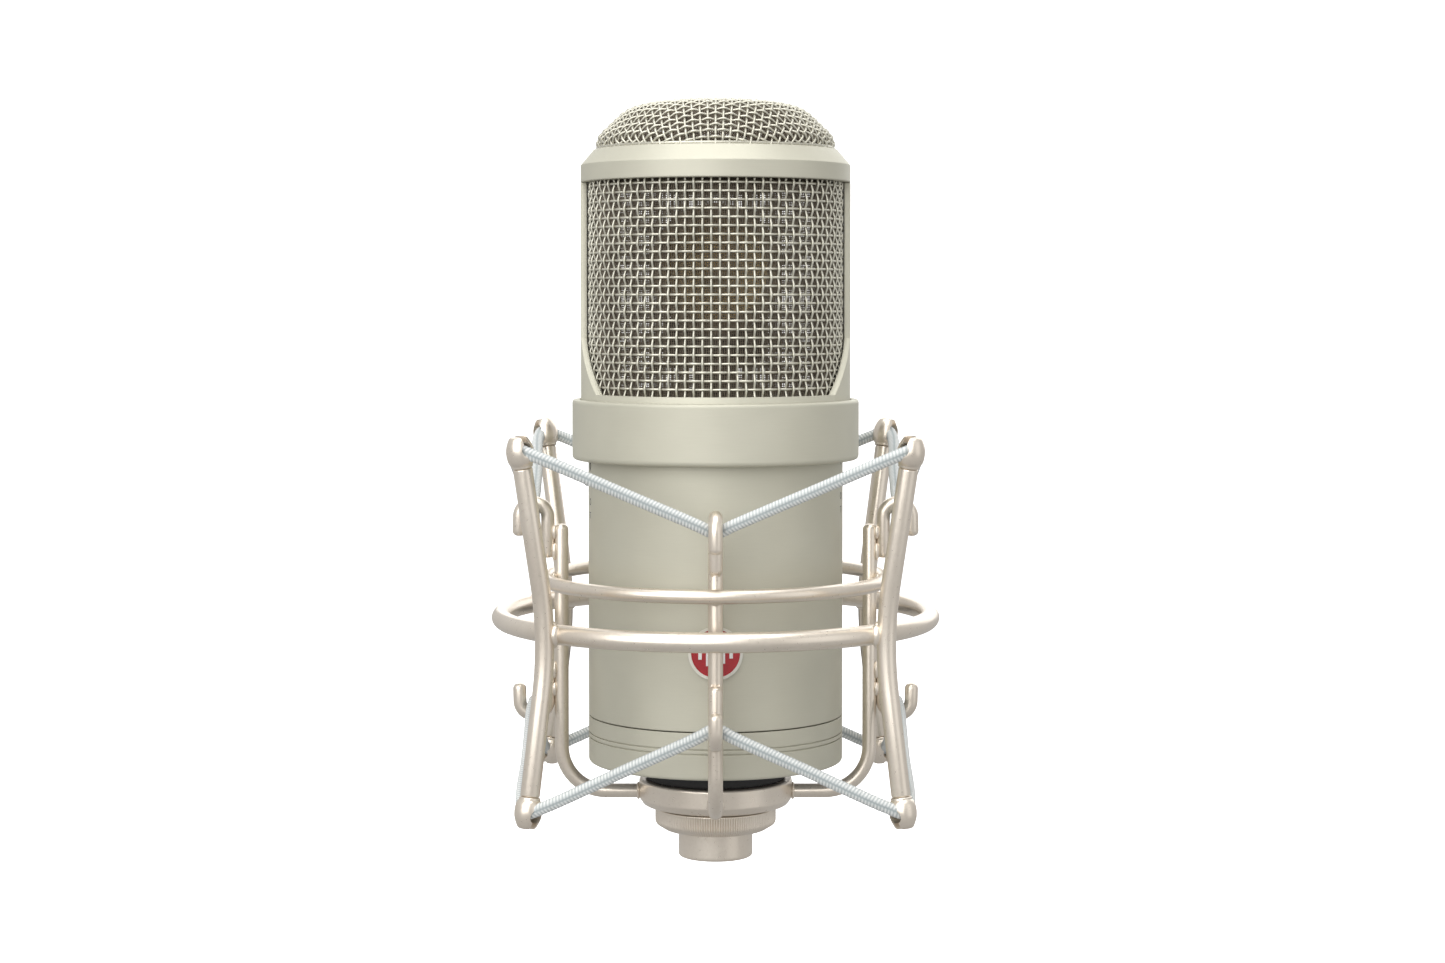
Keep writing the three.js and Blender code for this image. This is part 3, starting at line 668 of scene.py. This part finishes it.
def collar():
    lo, hi = span("collar")
    outline = [(37.25, lo), (37.25, hi), (35.3, hi), (35.3, 107.8), (33.4, 107.8), (33.4, lo)]
    make("collar_turned", turned(soften(outline, [1.3, 1.3, 0.25, 0.2, 0.2, 0.3], 8), 192),
         LACQUER, "microphone", ["collar"])


BODY_INNER = 31.5


def body_tube():
    lo, hi = span("body_tube")
    outer = radius_of("body_tube")
    outline = [(outer, lo), (outer, hi), (BODY_INNER, hi), (BODY_INNER, lo)]
    tube = make("body_tube_turned", turned(soften(outline, [0.2, 0.3, 0.2, 0.2], 3), 192), LACQUER,
                "microphone", ["body_tube"])
    slots = []
    for side, node in ((-1, "pattern_switch_slider"), (1, "filter_switch_slider")):
        height = (low(node) + high(node)) / 2
        ends = sorted((side * 28, side * 36))
        slots.append(box((ends[0], -2, height - 3.2), (ends[1], 2, height + 3.2)))
    carve(tube, slots, bevel=0.12)


def bottom_ring():
    lo, hi = span("bottom_ring")
    outer = radius_of("bottom_ring")
    outline = [(outer, lo)]
    for groove in (30.7, 31.9):
        outline += [(outer, groove), (outer - 0.4, groove), (outer - 0.4, groove + 0.32),
                    (outer, groove + 0.32)]
    outline += [(outer, hi), (BODY_INNER, hi), (BODY_INNER, lo)]
    radii = [1.9, *[0.06, 0, 0, 0.06] * 2, 0.1, 0.2, 0.3]
    make("bottom_ring_turned", turned(soften(outline, radii, 7), 192), LACQUER, "microphone",
         ["bottom_ring"])


def switch_tabs():
    """Ridged switch tabs that stand out of their slots."""
    for node, side in (("pattern_switch_slider", -1), ("filter_switch_slider", 1)):
        lo, hi = span(node)
        tab = box((28.2, -3, lo), (29.5, 3, hi)).joined(box((29.5, -1.7, lo), (33.7, 1.7, hi)))
        for i in range(3):
            z = lo + (hi - lo) * (i + 0.5) / 3
            tab.joined(box((33.7, -1.5, z - 0.17), (34.05, 1.5, z + 0.17)))
        tab.moved(Matrix.Rotation(0 if side > 0 else pi, 4, "Z"))
        body = "pattern_switch" if side < 0 else "filter_switch"
        make(node + "_ridged", tab, PLASTIC, body, [node])


def wrapped(flat, lift, radius=33.1, turn=0.0):
    """Bends a flat mark round the body. Its x runs round, its y up and its z outwards."""
    bent = Shape()
    points = np.concatenate(flat.points)
    angle = points[:, 0] / radius + turn
    reach = radius + lift + points[:, 2]
    place = np.stack([reach * np.sin(angle), -reach * np.cos(angle), points[:, 1]], -1)
    return bent.add(place, flat.faces)


def ring_mark(radius, width, height, thick=0.04, segments=28):
    inner, outer = radius - width / 2, radius + width / 2
    outline = [(outer, 0), (outer, thick), (inner, thick), (inner, 0)]
    shape = turned(outline, segments)
    shape.points = [points + np.array([0, height, 0]) for points in shape.points]
    return shape


def flat_box(x, y, wide, tall, thick=0.04):
    return box((x - wide / 2, y - tall / 2, 0), (x + wide / 2, y + tall / 2, thick))


def switch_marks():
    """Plain printed marks by the switches: a ring above, and a rule with a tick below."""
    marks = Shape()
    for turn, height in ((-1.35, 96.7), (1.35, 98.3)):
        for shape in (ring_mark(0.8, 0.22, height + 4.6), flat_box(0, height + 4.6, 0.2, 2.4),
                      ring_mark(0.8, 0.22, height - 4.6), flat_box(0, height - 7.4, 1.8, 0.22),
                      flat_box(0, height - 8.3, 0.22, 1.3)):
            marks.joined(wrapped(shape, 0.005, turn=turn))
    make("switch_marks", marks, INK, "microphone")


def badge():
    """A plain round badge: nickel rim, red enamel field and five level bars in white."""
    lo, hi = span("badge")
    centre, radius = (lo + hi) / 2, (hi - lo) / 2
    lift = 0.25

    def disc(size, bottom, top, rings=8, segments=72):
        outline = [(0, bottom)] + [(size * (i + 1) / rings, bottom) for i in range(rings)]
        outline += [(size * (rings - i) / rings, top) for i in range(rings)] + [(0, top)]
        shape = turned_solid(outline, segments)
        shape.points = [np.stack([p[:, 0], p[:, 1] + centre, p[:, 2]], -1) for p in shape.points]
        return shape

    rim = ring_mark(radius - 0.35, 0.7, centre, 0.55, 72)
    make("badge_rim", wrapped(rim, lift), EDGE, "microphone", ["badge"])
    make("badge_field", wrapped(disc(radius - 0.7, -0.2, 0.36), lift), ENAMEL, "microphone")
    bars = Shape()
    for i, tall in enumerate((3.0, 6.2, 8.6, 5.0, 2.4)):
        bars.joined(wrapped(flat_box((i - 2) * 1.9, centre, 0.85, tall, 0.46), lift))
    make("badge_bars", bars, WHITE, "microphone")


# ---- connector and insides

def connector():
    rim = low("xlr_shell")
    shell = [(9.7, rim), (9.7, 8.5), (12.1, 8.5), (12.1, 28.5), (15, 28.5), (15, 30.2), (6.5, 30.2),
             (6.5, 22.2), (8, 22.2), (8, rim)]
    radii = [0.9, 0.1, 0.2, 0.1, 0.2, 0.3, 0.2, 0.1, 0.1, 0.5]
    make("connector_shell", turned(soften(shell, radii), 144), ROD, "microphone", ["xlr_shell"])
    lo, hi = span("xlr_insert")
    body = turned_solid([(0, lo), *soften([(7.9, lo), (7.9, hi)], 0.0), (0, hi)], 72)
    insert = make("connector_insert", body, PLASTIC, "microphone", ["xlr_insert"])
    holes = []
    for node in ("xlr_pin_1", "xlr_pin_2", "xlr_pin_3"):
        near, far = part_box(node)
        x = (near.x + far.x) / 2 / MM
        y = ((near.y + far.y) / 2 - MIC_ZERO.y) / MM
        place = shift(x, y, 0)
        holes.append(bar(1.35, lo - 1, hi + 1, 32).moved(place))
        tip = [(0, low(node)), (0.55, low(node)), (1.0, low(node) + 0.25), (1.2, low(node) + 0.8),
               (1.2, low(node) + 1.2), (1.2, 22.4), (0.8, 22.6), (0.8, high(node)), (0, high(node))]
        make(node + "_turned", turned_solid(tip, 32).moved(place), BRASS, "microphone", [node])
    carve(insert, [*holes, box((-1.2, 6.6, lo - 1), (1.2, 9, hi + 1))], bevel=0.15)


def capsule():
    """The two-sided capsule: backplate, gold films and screwed clamp rings."""
    lo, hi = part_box("capsule_backplate")
    height = mic_mm((lo.z + hi.z) / 2)
    across = shift(0, 0, height) @ spin(90, "X")
    body = turned_solid([(0, -4.5), (12, -4.5), (16.7, -4.5), (17, -4.2), (17, -0.6), (16.5, -0.4),
                         (16.5, 0.4), (17, 0.6), (17, 4.2), (16.7, 4.5), (12, 4.5), (0, 4.5)], 96)
    make("capsule_body_turned", body.moved(across), SHADED_CAPSULE_BRASS, "microphone",
         ["capsule_backplate"])
    for node, side in (("front_diaphragm", 1), ("rear_diaphragm", -1)):
        start, end = side * 4.65, side * 4.9
        film = turned_solid([(0, start), (16, start), (16, end), (13.3, end),
                             (12.9, end - side * 0.08), (1.8, end - side * 0.05), (1.5, end),
                             (0, end)], 96).moved(across)
        make(node + "_film", film, SHADED_GOLD_FILM, "microphone", [node])
        ring_node = node.replace("diaphragm", "clamp_ring")
        near, far = side * 5.1, side * 6.3
        ring = turned(soften([(16.8, near), (16.8, far), (13.4, far), (13.4, near)], 0.2, 3), 96)
        for i in range(8):
            angle = (i + 0.5) * pi / 4
            head = turned_solid([(0, 0), (0.9, 0), (0.9, 0.35), (0.65, 0.5), (0, 0.5)], 16)
            where = shift(15.1 * cos(angle), 15.1 * sin(angle), far)
            ring.joined(head.moved(where if side > 0 else where @ Matrix.Rotation(pi, 4, "X")))
        make(ring_node + "_turned", ring.moved(across), SHADED_CAPSULE_BRASS, "microphone", [ring_node])


def saddle():
    base = high("capsule_deck") + 0.1
    foot = box((-5, -3.5, base), (5, 3.5, 131))
    made = make("saddle_moulded", foot, PLASTIC, "microphone", ["capsule_saddle"])
    carve(made, [box((-13, -4.2, 129), (13, 4.2, 142))], "UNION")
    lo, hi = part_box("capsule_backplate")
    across = shift(0, 0, mic_mm((lo.z + hi.z) / 2)) @ spin(90, "X")
    carve(made, [bar(17.3, -12, 12, 96).moved(across)], bevel=0.4)


def electronics():
    """Parts soldered to the board: resistors, film and can capacitors."""
    for node, material in (("circuit_board", BOARD), ("output_transformer", ZINC),
                           ("coupling_capacitor", ENAMEL), ("front_rail", ZINC),
                           ("rear_rail", ZINC), ("capsule_deck", ZINC), ("base_plate", ZINC),
                           ("pattern_switch_housing", PLASTIC), ("filter_switch_housing", PLASTIC)):
        shown = frame["nodes"][node]
        shown.data.materials.clear()
        shown.data.materials.append(material)
    face = 3.7
    parts = Shape()
    for row in range(5):
        for column in range(2):
            y, z = -14 + column * 9, 44 + row * 11
            body = turned_solid([(0, -2.6), (0.75, -2.6), (1, -2.2), (1, -1.6), (0.8, -1.3),
                                 (0.8, 1.3), (1, 1.6), (1, 2.2), (0.75, 2.6), (0, 2.6)], 20)
            parts.joined(body.moved(shift(face + 1.2, y, z)))
    make("board_resistors", parts, BRASS, "microphone")
    cans = Shape()
    for y, z in ((8, 46), (14, 58), (6, 70), (14, 82)):
        can = turned_solid([(0, 0), (2.6, 0), (2.9, 0.3), (2.9, 7), (2.7, 7.4), (0, 7.4)], 32)
        cans.joined(can.moved(shift(face, y, z) @ spin(90, "Y")))
    make("board_capacitors", cans, PLASTIC, "microphone")


# ---- basket

ARM_CIRCLE = 40.2
ARM_TOP = 85.8
ARM_FOOT = 15.8
ARM_BEND = 11.6
HOOK_LEG_CIRCLE = 43.75
HOOK_TIP_CIRCLE = 51.05
INNER_RING_CIRCLE = 43.9


def arm(place, turn):
    """An upright arm with a hook above and one below, drawn at the front and then turned."""
    path = bent_path([(0, -ARM_CIRCLE, ARM_TOP), (0, -ARM_CIRCLE, ARM_FOOT),
                      (0, -16.2, ARM_FOOT)], [ARM_BEND], 14)
    shape = sweep(path, 1.85, 24, (1, 0, 0), round_ends=1.5)
    for arch, inner, outer, up in ((87.6, 76.9, 82.6, 1), (39.5, 49.6, 44.0, -1)):
        crown = arch + up * 3.65
        hook = bent_path([(0, -HOOK_LEG_CIRCLE, inner), (0, -HOOK_LEG_CIRCLE, crown),
                          (0, -HOOK_TIP_CIRCLE, crown), (0, -HOOK_TIP_CIRCLE - 0.2, outer)],
                         [3.6, 3.6], 12)
        shape.joined(sweep(hook, 1.75, 22, (1, 0, 0), round_ends=1.3))
    for height, tall in ((78.6, 1.6), (83.6, 1.3), (42.6, 1.3), (47.6, 1.6)):
        for side in (-1, 1):
            shape.joined(lump((side * 0.9, -42.0, height), (0.9, 0.8, 1.4 * tall)))
    shape.joined(lump((0, -20.2, ARM_FOOT), (2.3, 0.7, 2.3)))
    make(place + "_rod", shape.moved(Matrix.Rotation(turn, 4, "Z")), ROD, "basket", [place])


def inner_ring():
    height = sum(span("inner_ring")) / 2
    shape = sweep(round_path(INNER_RING_CIRCLE, height, 144), 1.8, 20, (0, 0, 1), closed=True)
    for quarter in range(4):
        turn = quarter * pi / 2
        bead = Shape()
        for side in (-1, 1):
            bead.joined(lump((side * 1.5, -42.2, height + 0.2), (1.2, 0.9, 1.3)))
        bead.joined(lump((0, -42.1, height - 1.7), (1.3, 0.9, 0.8)))
        shape.joined(bead.moved(Matrix.Rotation(turn, 4, "Z")))
    make("inner_ring_rod", shape, ROD, "basket", ["inner_ring"])


def basket_base():
    lo, hi = span("basket_base")
    outline = [(16.3, lo), (18.9, lo + 0.7), (20, lo + 2.3), (20, hi), (12.4, hi), (12.4, lo)]
    flange = turned(soften(outline, [0.4, 1.0, 1.0, 0.7, 0.3, 0.3], 6), 160)
    made = make("basket_base_turned", flange, ROD, "basket", ["basket_base"])
    holes = []
    for quarter in range(4):
        place = shift(0, 0, ARM_FOOT) @ spin(90 * quarter, "Z") @ spin(-90, "X")
        holes.append(bar(2.0, -23, -15.6, 32).moved(place))
    carve(made, holes)
    lo, hi = span("base_gasket")
    outline = [(18.3, lo), (18.3, hi), (12.4, hi), (12.4, lo)]
    make("base_gasket_moulded", turned(soften(outline, 0.6), 128), RUBBER, "basket",
         ["base_gasket"])


def ring_nut():
    """The knurled nut. Narrow grooves run down its side and round over its lower edge."""
    lo, hi = span("ring_nut")
    ridges = 150
    outline = soften([(13.4, lo), (15.8, lo + 1.5), (15.8, hi), (12.3, hi), (12.3, 8.2),
                      (10, 8.2), (10, lo)], [0.4, 1.3, 0.4, 0.2, 0.1, 0.2, 0.4], 5)

    def knurl(angle, radius, height):
        depth = 0.26 * np.clip(radius - 13.6, 0, 1) * np.clip((hi - 0.35 - height) / 0.3, 0, 1)
        return -depth * np.abs(np.cos(angle * ridges / 2)) ** 3

    make("ring_nut_knurled", turned(outline, ridges * 7, ripple=knurl), ROD, "ring_nut",
         ["ring_nut"])


# ---- cage

POST_CORNERS = [(66.3, 103.4), (58.1, 61.0), (64.15, 22.7)]
POST_BEND = 78.0
OUTER_RING_CIRCLE = 55.8


def post(name, turn):
    corners = [(0, -radius, height) for radius, height in POST_CORNERS]
    shape = sweep(bent_path(corners, [POST_BEND], 16), 2.4, 28, (1, 0, 0), round_ends=0.5)
    for side in (-1, 1):
        shape.joined(lump((side * 2.0, -57.6, 61.9), (1.4, 1.6, 2.6)))
    shape.joined(lump((0, -57.4, 59.4), (2.0, 1.2, 1.0)))
    shape.joined(lump((0, -57.4, 64.4), (2.0, 1.2, 1.0)))
    make(name + "_rod", shape.moved(Matrix.Rotation(turn, 4, "Z")), ROD, "cage", [name])


def cap(name, turn, end):
    """A pressed-on barrel cap: an eye for the elastic, and a narrow split that leads to it."""
    radius, height = POST_CORNERS[0 if end > 0 else 2]
    lean = atan2(radius - POST_CORNERS[1][0], height - POST_CORNERS[1][1])
    outline = [(0, 0.05), (2.45, 0.05), (2.6, 0.2), (2.62, 0.7), (2.9, 0.95), (3.25, 1.7),
               (3.42, 2.7), (3.45, 3.7), (3.35, 4.8), (3.05, 5.8), (2.6, 6.8), (2.25, 7.4),
               (1.95, 7.65), (1.5, 7.75), (0, 7.75)]
    place = (Matrix.Rotation(turn, 4, "Z") @ shift(0, -radius, height)
             @ Matrix.Rotation(lean, 4, "X"))
    made = make(name + "_split", turned_solid(outline, 56).moved(place), ROD, "cage", [name],
                sharp=50)
    slot = box((-6, -0.75, 4.5), (6, 0.75, 9))
    eye = bar(1.7, -6, 6, 40)
    eye.moved(shift(0, 0, 4.5) @ spin(90, "Y"))
    carve(made, [slot.moved(place), eye.moved(place)], bevel=0.25, segments=3, sharp=45)


def cage():
    corners = ("front_right", "rear_right", "rear_left", "front_left")
    for i, corner in enumerate(corners):
        turn = pi / 4 + i * pi / 2
        post("post_" + corner, turn)
        cap("upper_cap_" + corner, turn, 1)
        cap("lower_cap_" + corner, turn, -1)
    path = round_path(OUTER_RING_CIRCLE, sum(span("outer_ring")) / 2, 180)
    make("outer_ring_rod", sweep(path, 2.5, 26, (0, 0, 1), closed=True), ROD, "cage",
         ["outer_ring"])


# ---- elastic

HOOKED = 47.4  # how far from the microphone's axis the hooks hold the cord


def cord_points(cap_height, hook_height, square):
    """The elastic's route: dead straight from each cap to the next hook, as it is stretched."""
    slope = (hook_height - cap_height) / square
    points = []
    for side in range(4):
        quarter = Matrix.Rotation(side * pi / 2, 3, "Z")
        out = (-square - 1.6, (-HOOKED - square - 1.6) / 2, -HOOKED - 0.3, -HOOKED)
        for x, y, z in ((4.5 - square, out[0], cap_height + slope * 4.5),
                        (-square / 2, out[1], cap_height + slope * square / 2),
                        (-4, out[2], hook_height - slope * 4),
                        (-1.3, out[3], hook_height - slope * 1.0),
                        (1.3, out[3], hook_height - slope * 1.0),
                        (4, out[2], hook_height - slope * 4),
                        (square / 2, out[1], cap_height + slope * square / 2),
                        (square - 4.5, out[0], cap_height + slope * 4.5),
                        (square + 0.2, -square - 0.2, cap_height + slope * 0.6)):
            points.append(quarter @ Vector((x, y, z)))
    return np.array(points)


def mixed(s, start, end, before, after):
    """The value at s on a straight line between two values."""
    return ((end - s) * before + (s - start) * after) / (end - start)


def closed_curve(points, steps):
    """A centripetal Catmull-Rom loop, evenly stepped along its length."""
    count = len(points)
    dense = []
    for i in range(count):
        p = [points[(i + k) % count] for k in (-1, 0, 1, 2)]
        t = [0.0]
        for a, b in zip(p, p[1:]):
            t.append(t[-1] + np.linalg.norm(b - a) ** 0.5)
        for s in np.linspace(t[1], t[2], 40, endpoint=False):
            level = p
            for gap in (1, 2):
                level = [mixed(s, t[k], t[k + gap], level[k], level[k + 1])
                         for k in range(len(level) - 1)]
            dense.append(mixed(s, t[1], t[2], *level))
    dense = np.array([*dense, dense[0]])
    reach = np.concatenate([[0], np.cumsum(np.linalg.norm(np.diff(dense, axis=0), axis=1))])
    even = np.linspace(0, reach[-1], steps, endpoint=False)
    return np.stack([np.interp(even, reach, dense[:, k]) for k in range(3)], -1), reach[-1]


COLUMNS = 4  # rows of stitches round the cord
STITCH = 0.85


def elastic(node, cap_height, hook_height, square):
    """A knitted cord: rows of slanted stitches that lean alternately left and right."""
    sides = 24
    path, length = closed_curve(cord_points(cap_height, hook_height, square), 3600)
    stitches = round(length / STITCH)
    along = np.arange(len(path))[:, None] / len(path) * stitches
    row = np.arange(sides)[None, :] / sides * COLUMNS
    place = row % 1
    lean = np.where(np.floor(row) % 2 == 0, 0.8, -0.8) * place
    crown = np.sin(pi * place) ** 0.6
    stand_out = crown * (0.5 + 0.5 * np.cos(2 * pi * (along + lean)))
    radius = 1.46 + 0.06 * crown + 0.12 * stand_out
    made = make(node + "_knit", sweep(path, radius, sides, (0, 0, 1), closed=True), ELASTIC, None,
                [node], sharp=80)
    # The stitch attribute is painted shade: low where the knit sinks in, high where the stitches
    # stand out.
    painted_shade_attribute = made.data.attributes.new("painted_stitch_shade", "FLOAT", "POINT")
    painted_shade_attribute.data.foreach_set("value", (0.25 * crown + 0.75 * stand_out).astype(np.float32).ravel())
    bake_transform(made)


# ---- stand joint

def along_x(shape):
    return shape.moved(spin(90, "Y"))


def at_pivot(shape):
    return shape.moved(shift(0, 0, PIVOT.z / MM))


def pivot_bar(radius, start, end, sides=64):
    return at_pivot(along_x(bar(radius, start, end, sides)))


def side_prism(outline, half):
    """An outline of (depth, height) pushed evenly to both sides of x = 0."""
    turn = Matrix(((0, 0, 1, 0), (1, 0, 0, 0), (0, 1, 0, 0), (0, 0, 0, 1)))
    return prism(outline, -half, half).moved(turn)


def stand_socket():
    height = PIVOT.z / MM
    barrel = turned(soften([(12, 0), (12, 27), (7, 27), (7, 18), (7.94, 18), (7.94, 0)],
                           [0.7, 0.1, 0.1, 0.1, 0.1, 0.9], 4), 128)
    made = make("socket_barrel", barrel, STAND_PAINT, "stand", ["stand_socket"],
                origin=STAND_ORIGIN)
    arc = [(10 * cos(pi * i / 40), height + 10 * sin(pi * i / 40)) for i in range(41)]
    cheeks = side_prism([(-10, 23), (10, 23), *arc], 9.6)
    carve(made, [cheeks], "UNION", origin=STAND_ORIGIN)
    carve(made, [box((-4.6, -20, 31), (4.6, 20, 60)), pivot_bar(3.3, -20, 20)], bevel=0.45,
          segments=3, origin=STAND_ORIGIN)
    turns, pitch = 17, 25.4 / 27
    steps = np.arange(turns * 48)
    angle = steps * 2 * pi / 48
    helix = np.stack([7.98 * np.cos(angle), 7.98 * np.sin(angle), 1.0 + steps / 48 * pitch], -1)
    thread = sweep(helix, 0.42, 6, (0, 0, 1))
    make("socket_thread", thread, ZINC, "stand", origin=STAND_ORIGIN, sharp=50)


def tilt_parts():
    for node, side in (("washer_left", -1), ("washer_right", 1)):
        ring = turned(soften([(8.5, 3.35), (8.5, 4.45), (3.3, 4.45), (3.3, 3.35)], 0.2, 3), 72)
        ring = ring.moved(Matrix.Rotation(side * pi / 2, 4, "Y"))
        make(node + "_moulded", at_pivot(ring), RUBBER, "stand", [node], origin=STAND_ORIGIN)
    flats = [(5.77 * cos(i * pi / 3), 5.77 * sin(i * pi / 3)) for i in range(6)]
    nut = at_pivot(along_x(prism(flats, -14.7, -9.7)))
    made = make("clamp_nut_hex", nut, ZINC, "stand", ["clamp_nut"], origin=STAND_ORIGIN)
    carve(made, [pivot_bar(3.2, -20, 0)], bevel=0.35, origin=STAND_ORIGIN)
    knob = []
    for i in range(180):
        angle = i / 180 * 2 * pi
        radius = 9.3 + 1.1 * cos(6 * angle)
        knob.append((radius * cos(angle), radius * sin(angle)))
    made = make("thumb_screw_knob", at_pivot(along_x(prism(knob, 12, 25))), PLASTIC, "thumb_screw",
                ["thumb_screw"], origin=STAND_ORIGIN)
    carve(made, [pivot_bar(6, 9.7, 12.5)], "UNION", origin=STAND_ORIGIN)
    dish = at_pivot(along_x(turned_solid([(0, 24.2), (5.5, 24.2), (6.3, 26), (0, 26)], 64)))
    carve(made, [dish], bevel=0.7, segments=4, origin=STAND_ORIGIN)
    crests = [(3.0 - 0.3 * (i % 2), -15 + 0.25 * i) for i in range(110)]
    thread = at_pivot(along_x(turned_solid([(0, -15), *crests, (0, 12.25)], 48)))
    make("thumb_screw_shank", thread, ZINC, "thumb_screw",
         origin=STAND_ORIGIN, sharp=30)


def tilt_lug():
    """The plate welded behind the outer ring: a tapered eye for the clamp screw."""
    back = (PIVOT.y - MIC_ZERO.y) / MM
    height = mic_mm(PIVOT.z)
    arc = [(back + 9 * sin(pi * i / 40), height - 9 * cos(pi * i / 40)) for i in range(41)]
    plate = side_prism([(58.0, height - 5), *arc, (58.0, height + 5)], 3.2)
    made = make("tilt_lug_plate", plate, ROD, "cage", ["tilt_lug"])
    hole = along_x(bar(3.3, -9, 9))
    carve(made, [hole.moved(shift(0, back, height))], bevel=0.4, segments=3)
    beads = Shape()
    for side in (-1, 1):
        beads.joined(lump((side * 3.2, 58.0, height), (1.3, 1.2, 3.6)))
    make("tilt_lug_weld", beads, ROD, "cage")


# ---- room, light and camera

def paper():
    """Lit white paper: it glows a little, so that it stays white behind the object."""
    material, _, _, shader = new_material("white_paper")
    fill(shader, {"Base Color": (0.9, 0.9, 0.9, 1), "Roughness": 0.9,
                  "Emission Color": (1, 1, 1, 1), "Emission Strength": 0.8})
    return material


FLOOR_DROP = 0.17


def room():
    """A pale floor that curves up into a backdrop."""
    floor_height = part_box("stand_socket")[0].z - FLOOR_DROP
    profile = [(-2.2, 0), (0.9, 0), (1.3, 0.04), (1.6, 0.16), (1.8, 0.4), (1.9, 0.8), (1.9, 3.0)]
    points, faces = [], []
    for i, (y, z) in enumerate(smooth_curve(profile, 8)):
        points += [(-3.2, y, floor_height + z), (3.2, y, floor_height + z)]
        if i:
            faces.append((2 * i - 2, 2 * i - 1, 2 * i + 1, 2 * i))
    mesh = bpy.data.meshes.new("backdrop")
    mesh.from_pydata(points, [], faces)
    for face in mesh.polygons:
        face.use_smooth = True
    mesh.materials.append(paper())
    backdrop = placed("backdrop", mesh)
    backdrop.visible_glossy = backdrop.visible_diffuse = False


def lamp(name, place, size, power, aim):
    data = bpy.data.lights.new(name, "AREA")
    data.shape = "RECTANGLE"
    data.size, data.size_y = size
    data.energy = power
    made = placed(name, data)
    made.location = place
    made.rotation_euler = (aim - place).to_track_quat("-Z", "Y").to_euler()


def lights():
    aim = MIC_ZERO + Vector((0, 0, 0.1))
    lamp("key_softbox", aim + Vector((-0.5, -1.1, 0.6)), (1.5, 1.4), 14.5, aim)
    lamp("fill_softbox", aim + Vector((1.1, -0.8, 0.2)), (0.9, 1.2), 1.4, aim)
    lamp("top_softbox", aim + Vector((0.0, -0.25, 1.2)), (1.1, 1.0), 8.5, aim)
    lamp("rear_softbox", aim + Vector((0.3, 1.1, 0.6)), (1.6, 1.2), 7, aim)
    bpy.context.scene.view_settings.view_transform = "Standard"
    studio()


def studio():
    """A room that is brighter overhead than below."""
    world = bpy.data.worlds.new("studio")
    world.use_nodes = True
    nodes, links = world.node_tree.nodes, world.node_tree.links
    place = nodes.new("ShaderNodeTexCoord")
    split = nodes.new("ShaderNodeSeparateXYZ")
    level = nodes.new("ShaderNodeMapRange")
    fill(level, {"From Min": -1, "From Max": 1, "To Min": 0.42, "To Max": 0.7})
    links.new(place.outputs["Generated"], split.inputs["Vector"])
    links.new(split.outputs["Z"], level.inputs["Value"])
    links.new(level.outputs["Result"], nodes["Background"].inputs["Strength"])
    nodes["Background"].inputs["Color"].default_value = (1, 1, 1, 1)
    bpy.context.scene.world = world


CAMERA_DISTANCE = 0.681
CAMERA_HEIGHT = 144.1
CAMERA_PITCH = 2.1
LENS = 65.2
SENSOR_WIDTH = 36
FRAME_SHIFT = (0.0048, -0.0592)


def camera():
    data = bpy.data.cameras.new("camera")
    data.lens, data.sensor_width = LENS, SENSOR_WIDTH
    data.shift_x, data.shift_y = FRAME_SHIFT
    made = placed("camera", data)
    made.location = MIC_ZERO + Vector((0, -CAMERA_DISTANCE, CAMERA_HEIGHT * MM))
    made.rotation_euler = (radians(90 - CAMERA_PITCH), 0, 0)
    bpy.context.scene.camera = made


camera()
room()
lights()
dome_grille()
side_grille()
inner_screen()
head_ring()
head_frame()
collar()
body_tube()
bottom_ring()
switch_tabs()
switch_marks()
badge()
connector()
capsule()
saddle()
electronics()
for number, where in enumerate(("arm_front", "arm_right", "arm_rear", "arm_left")):
    arm(where, number * pi / 2)
inner_ring()
basket_base()
ring_nut()
cage()
elastic("upper_elastic", 107.9, 87.5, 47.4)
elastic("lower_elastic", 18.6, 39.6, 46.05)
stand_socket()
tilt_parts()
tilt_lug()
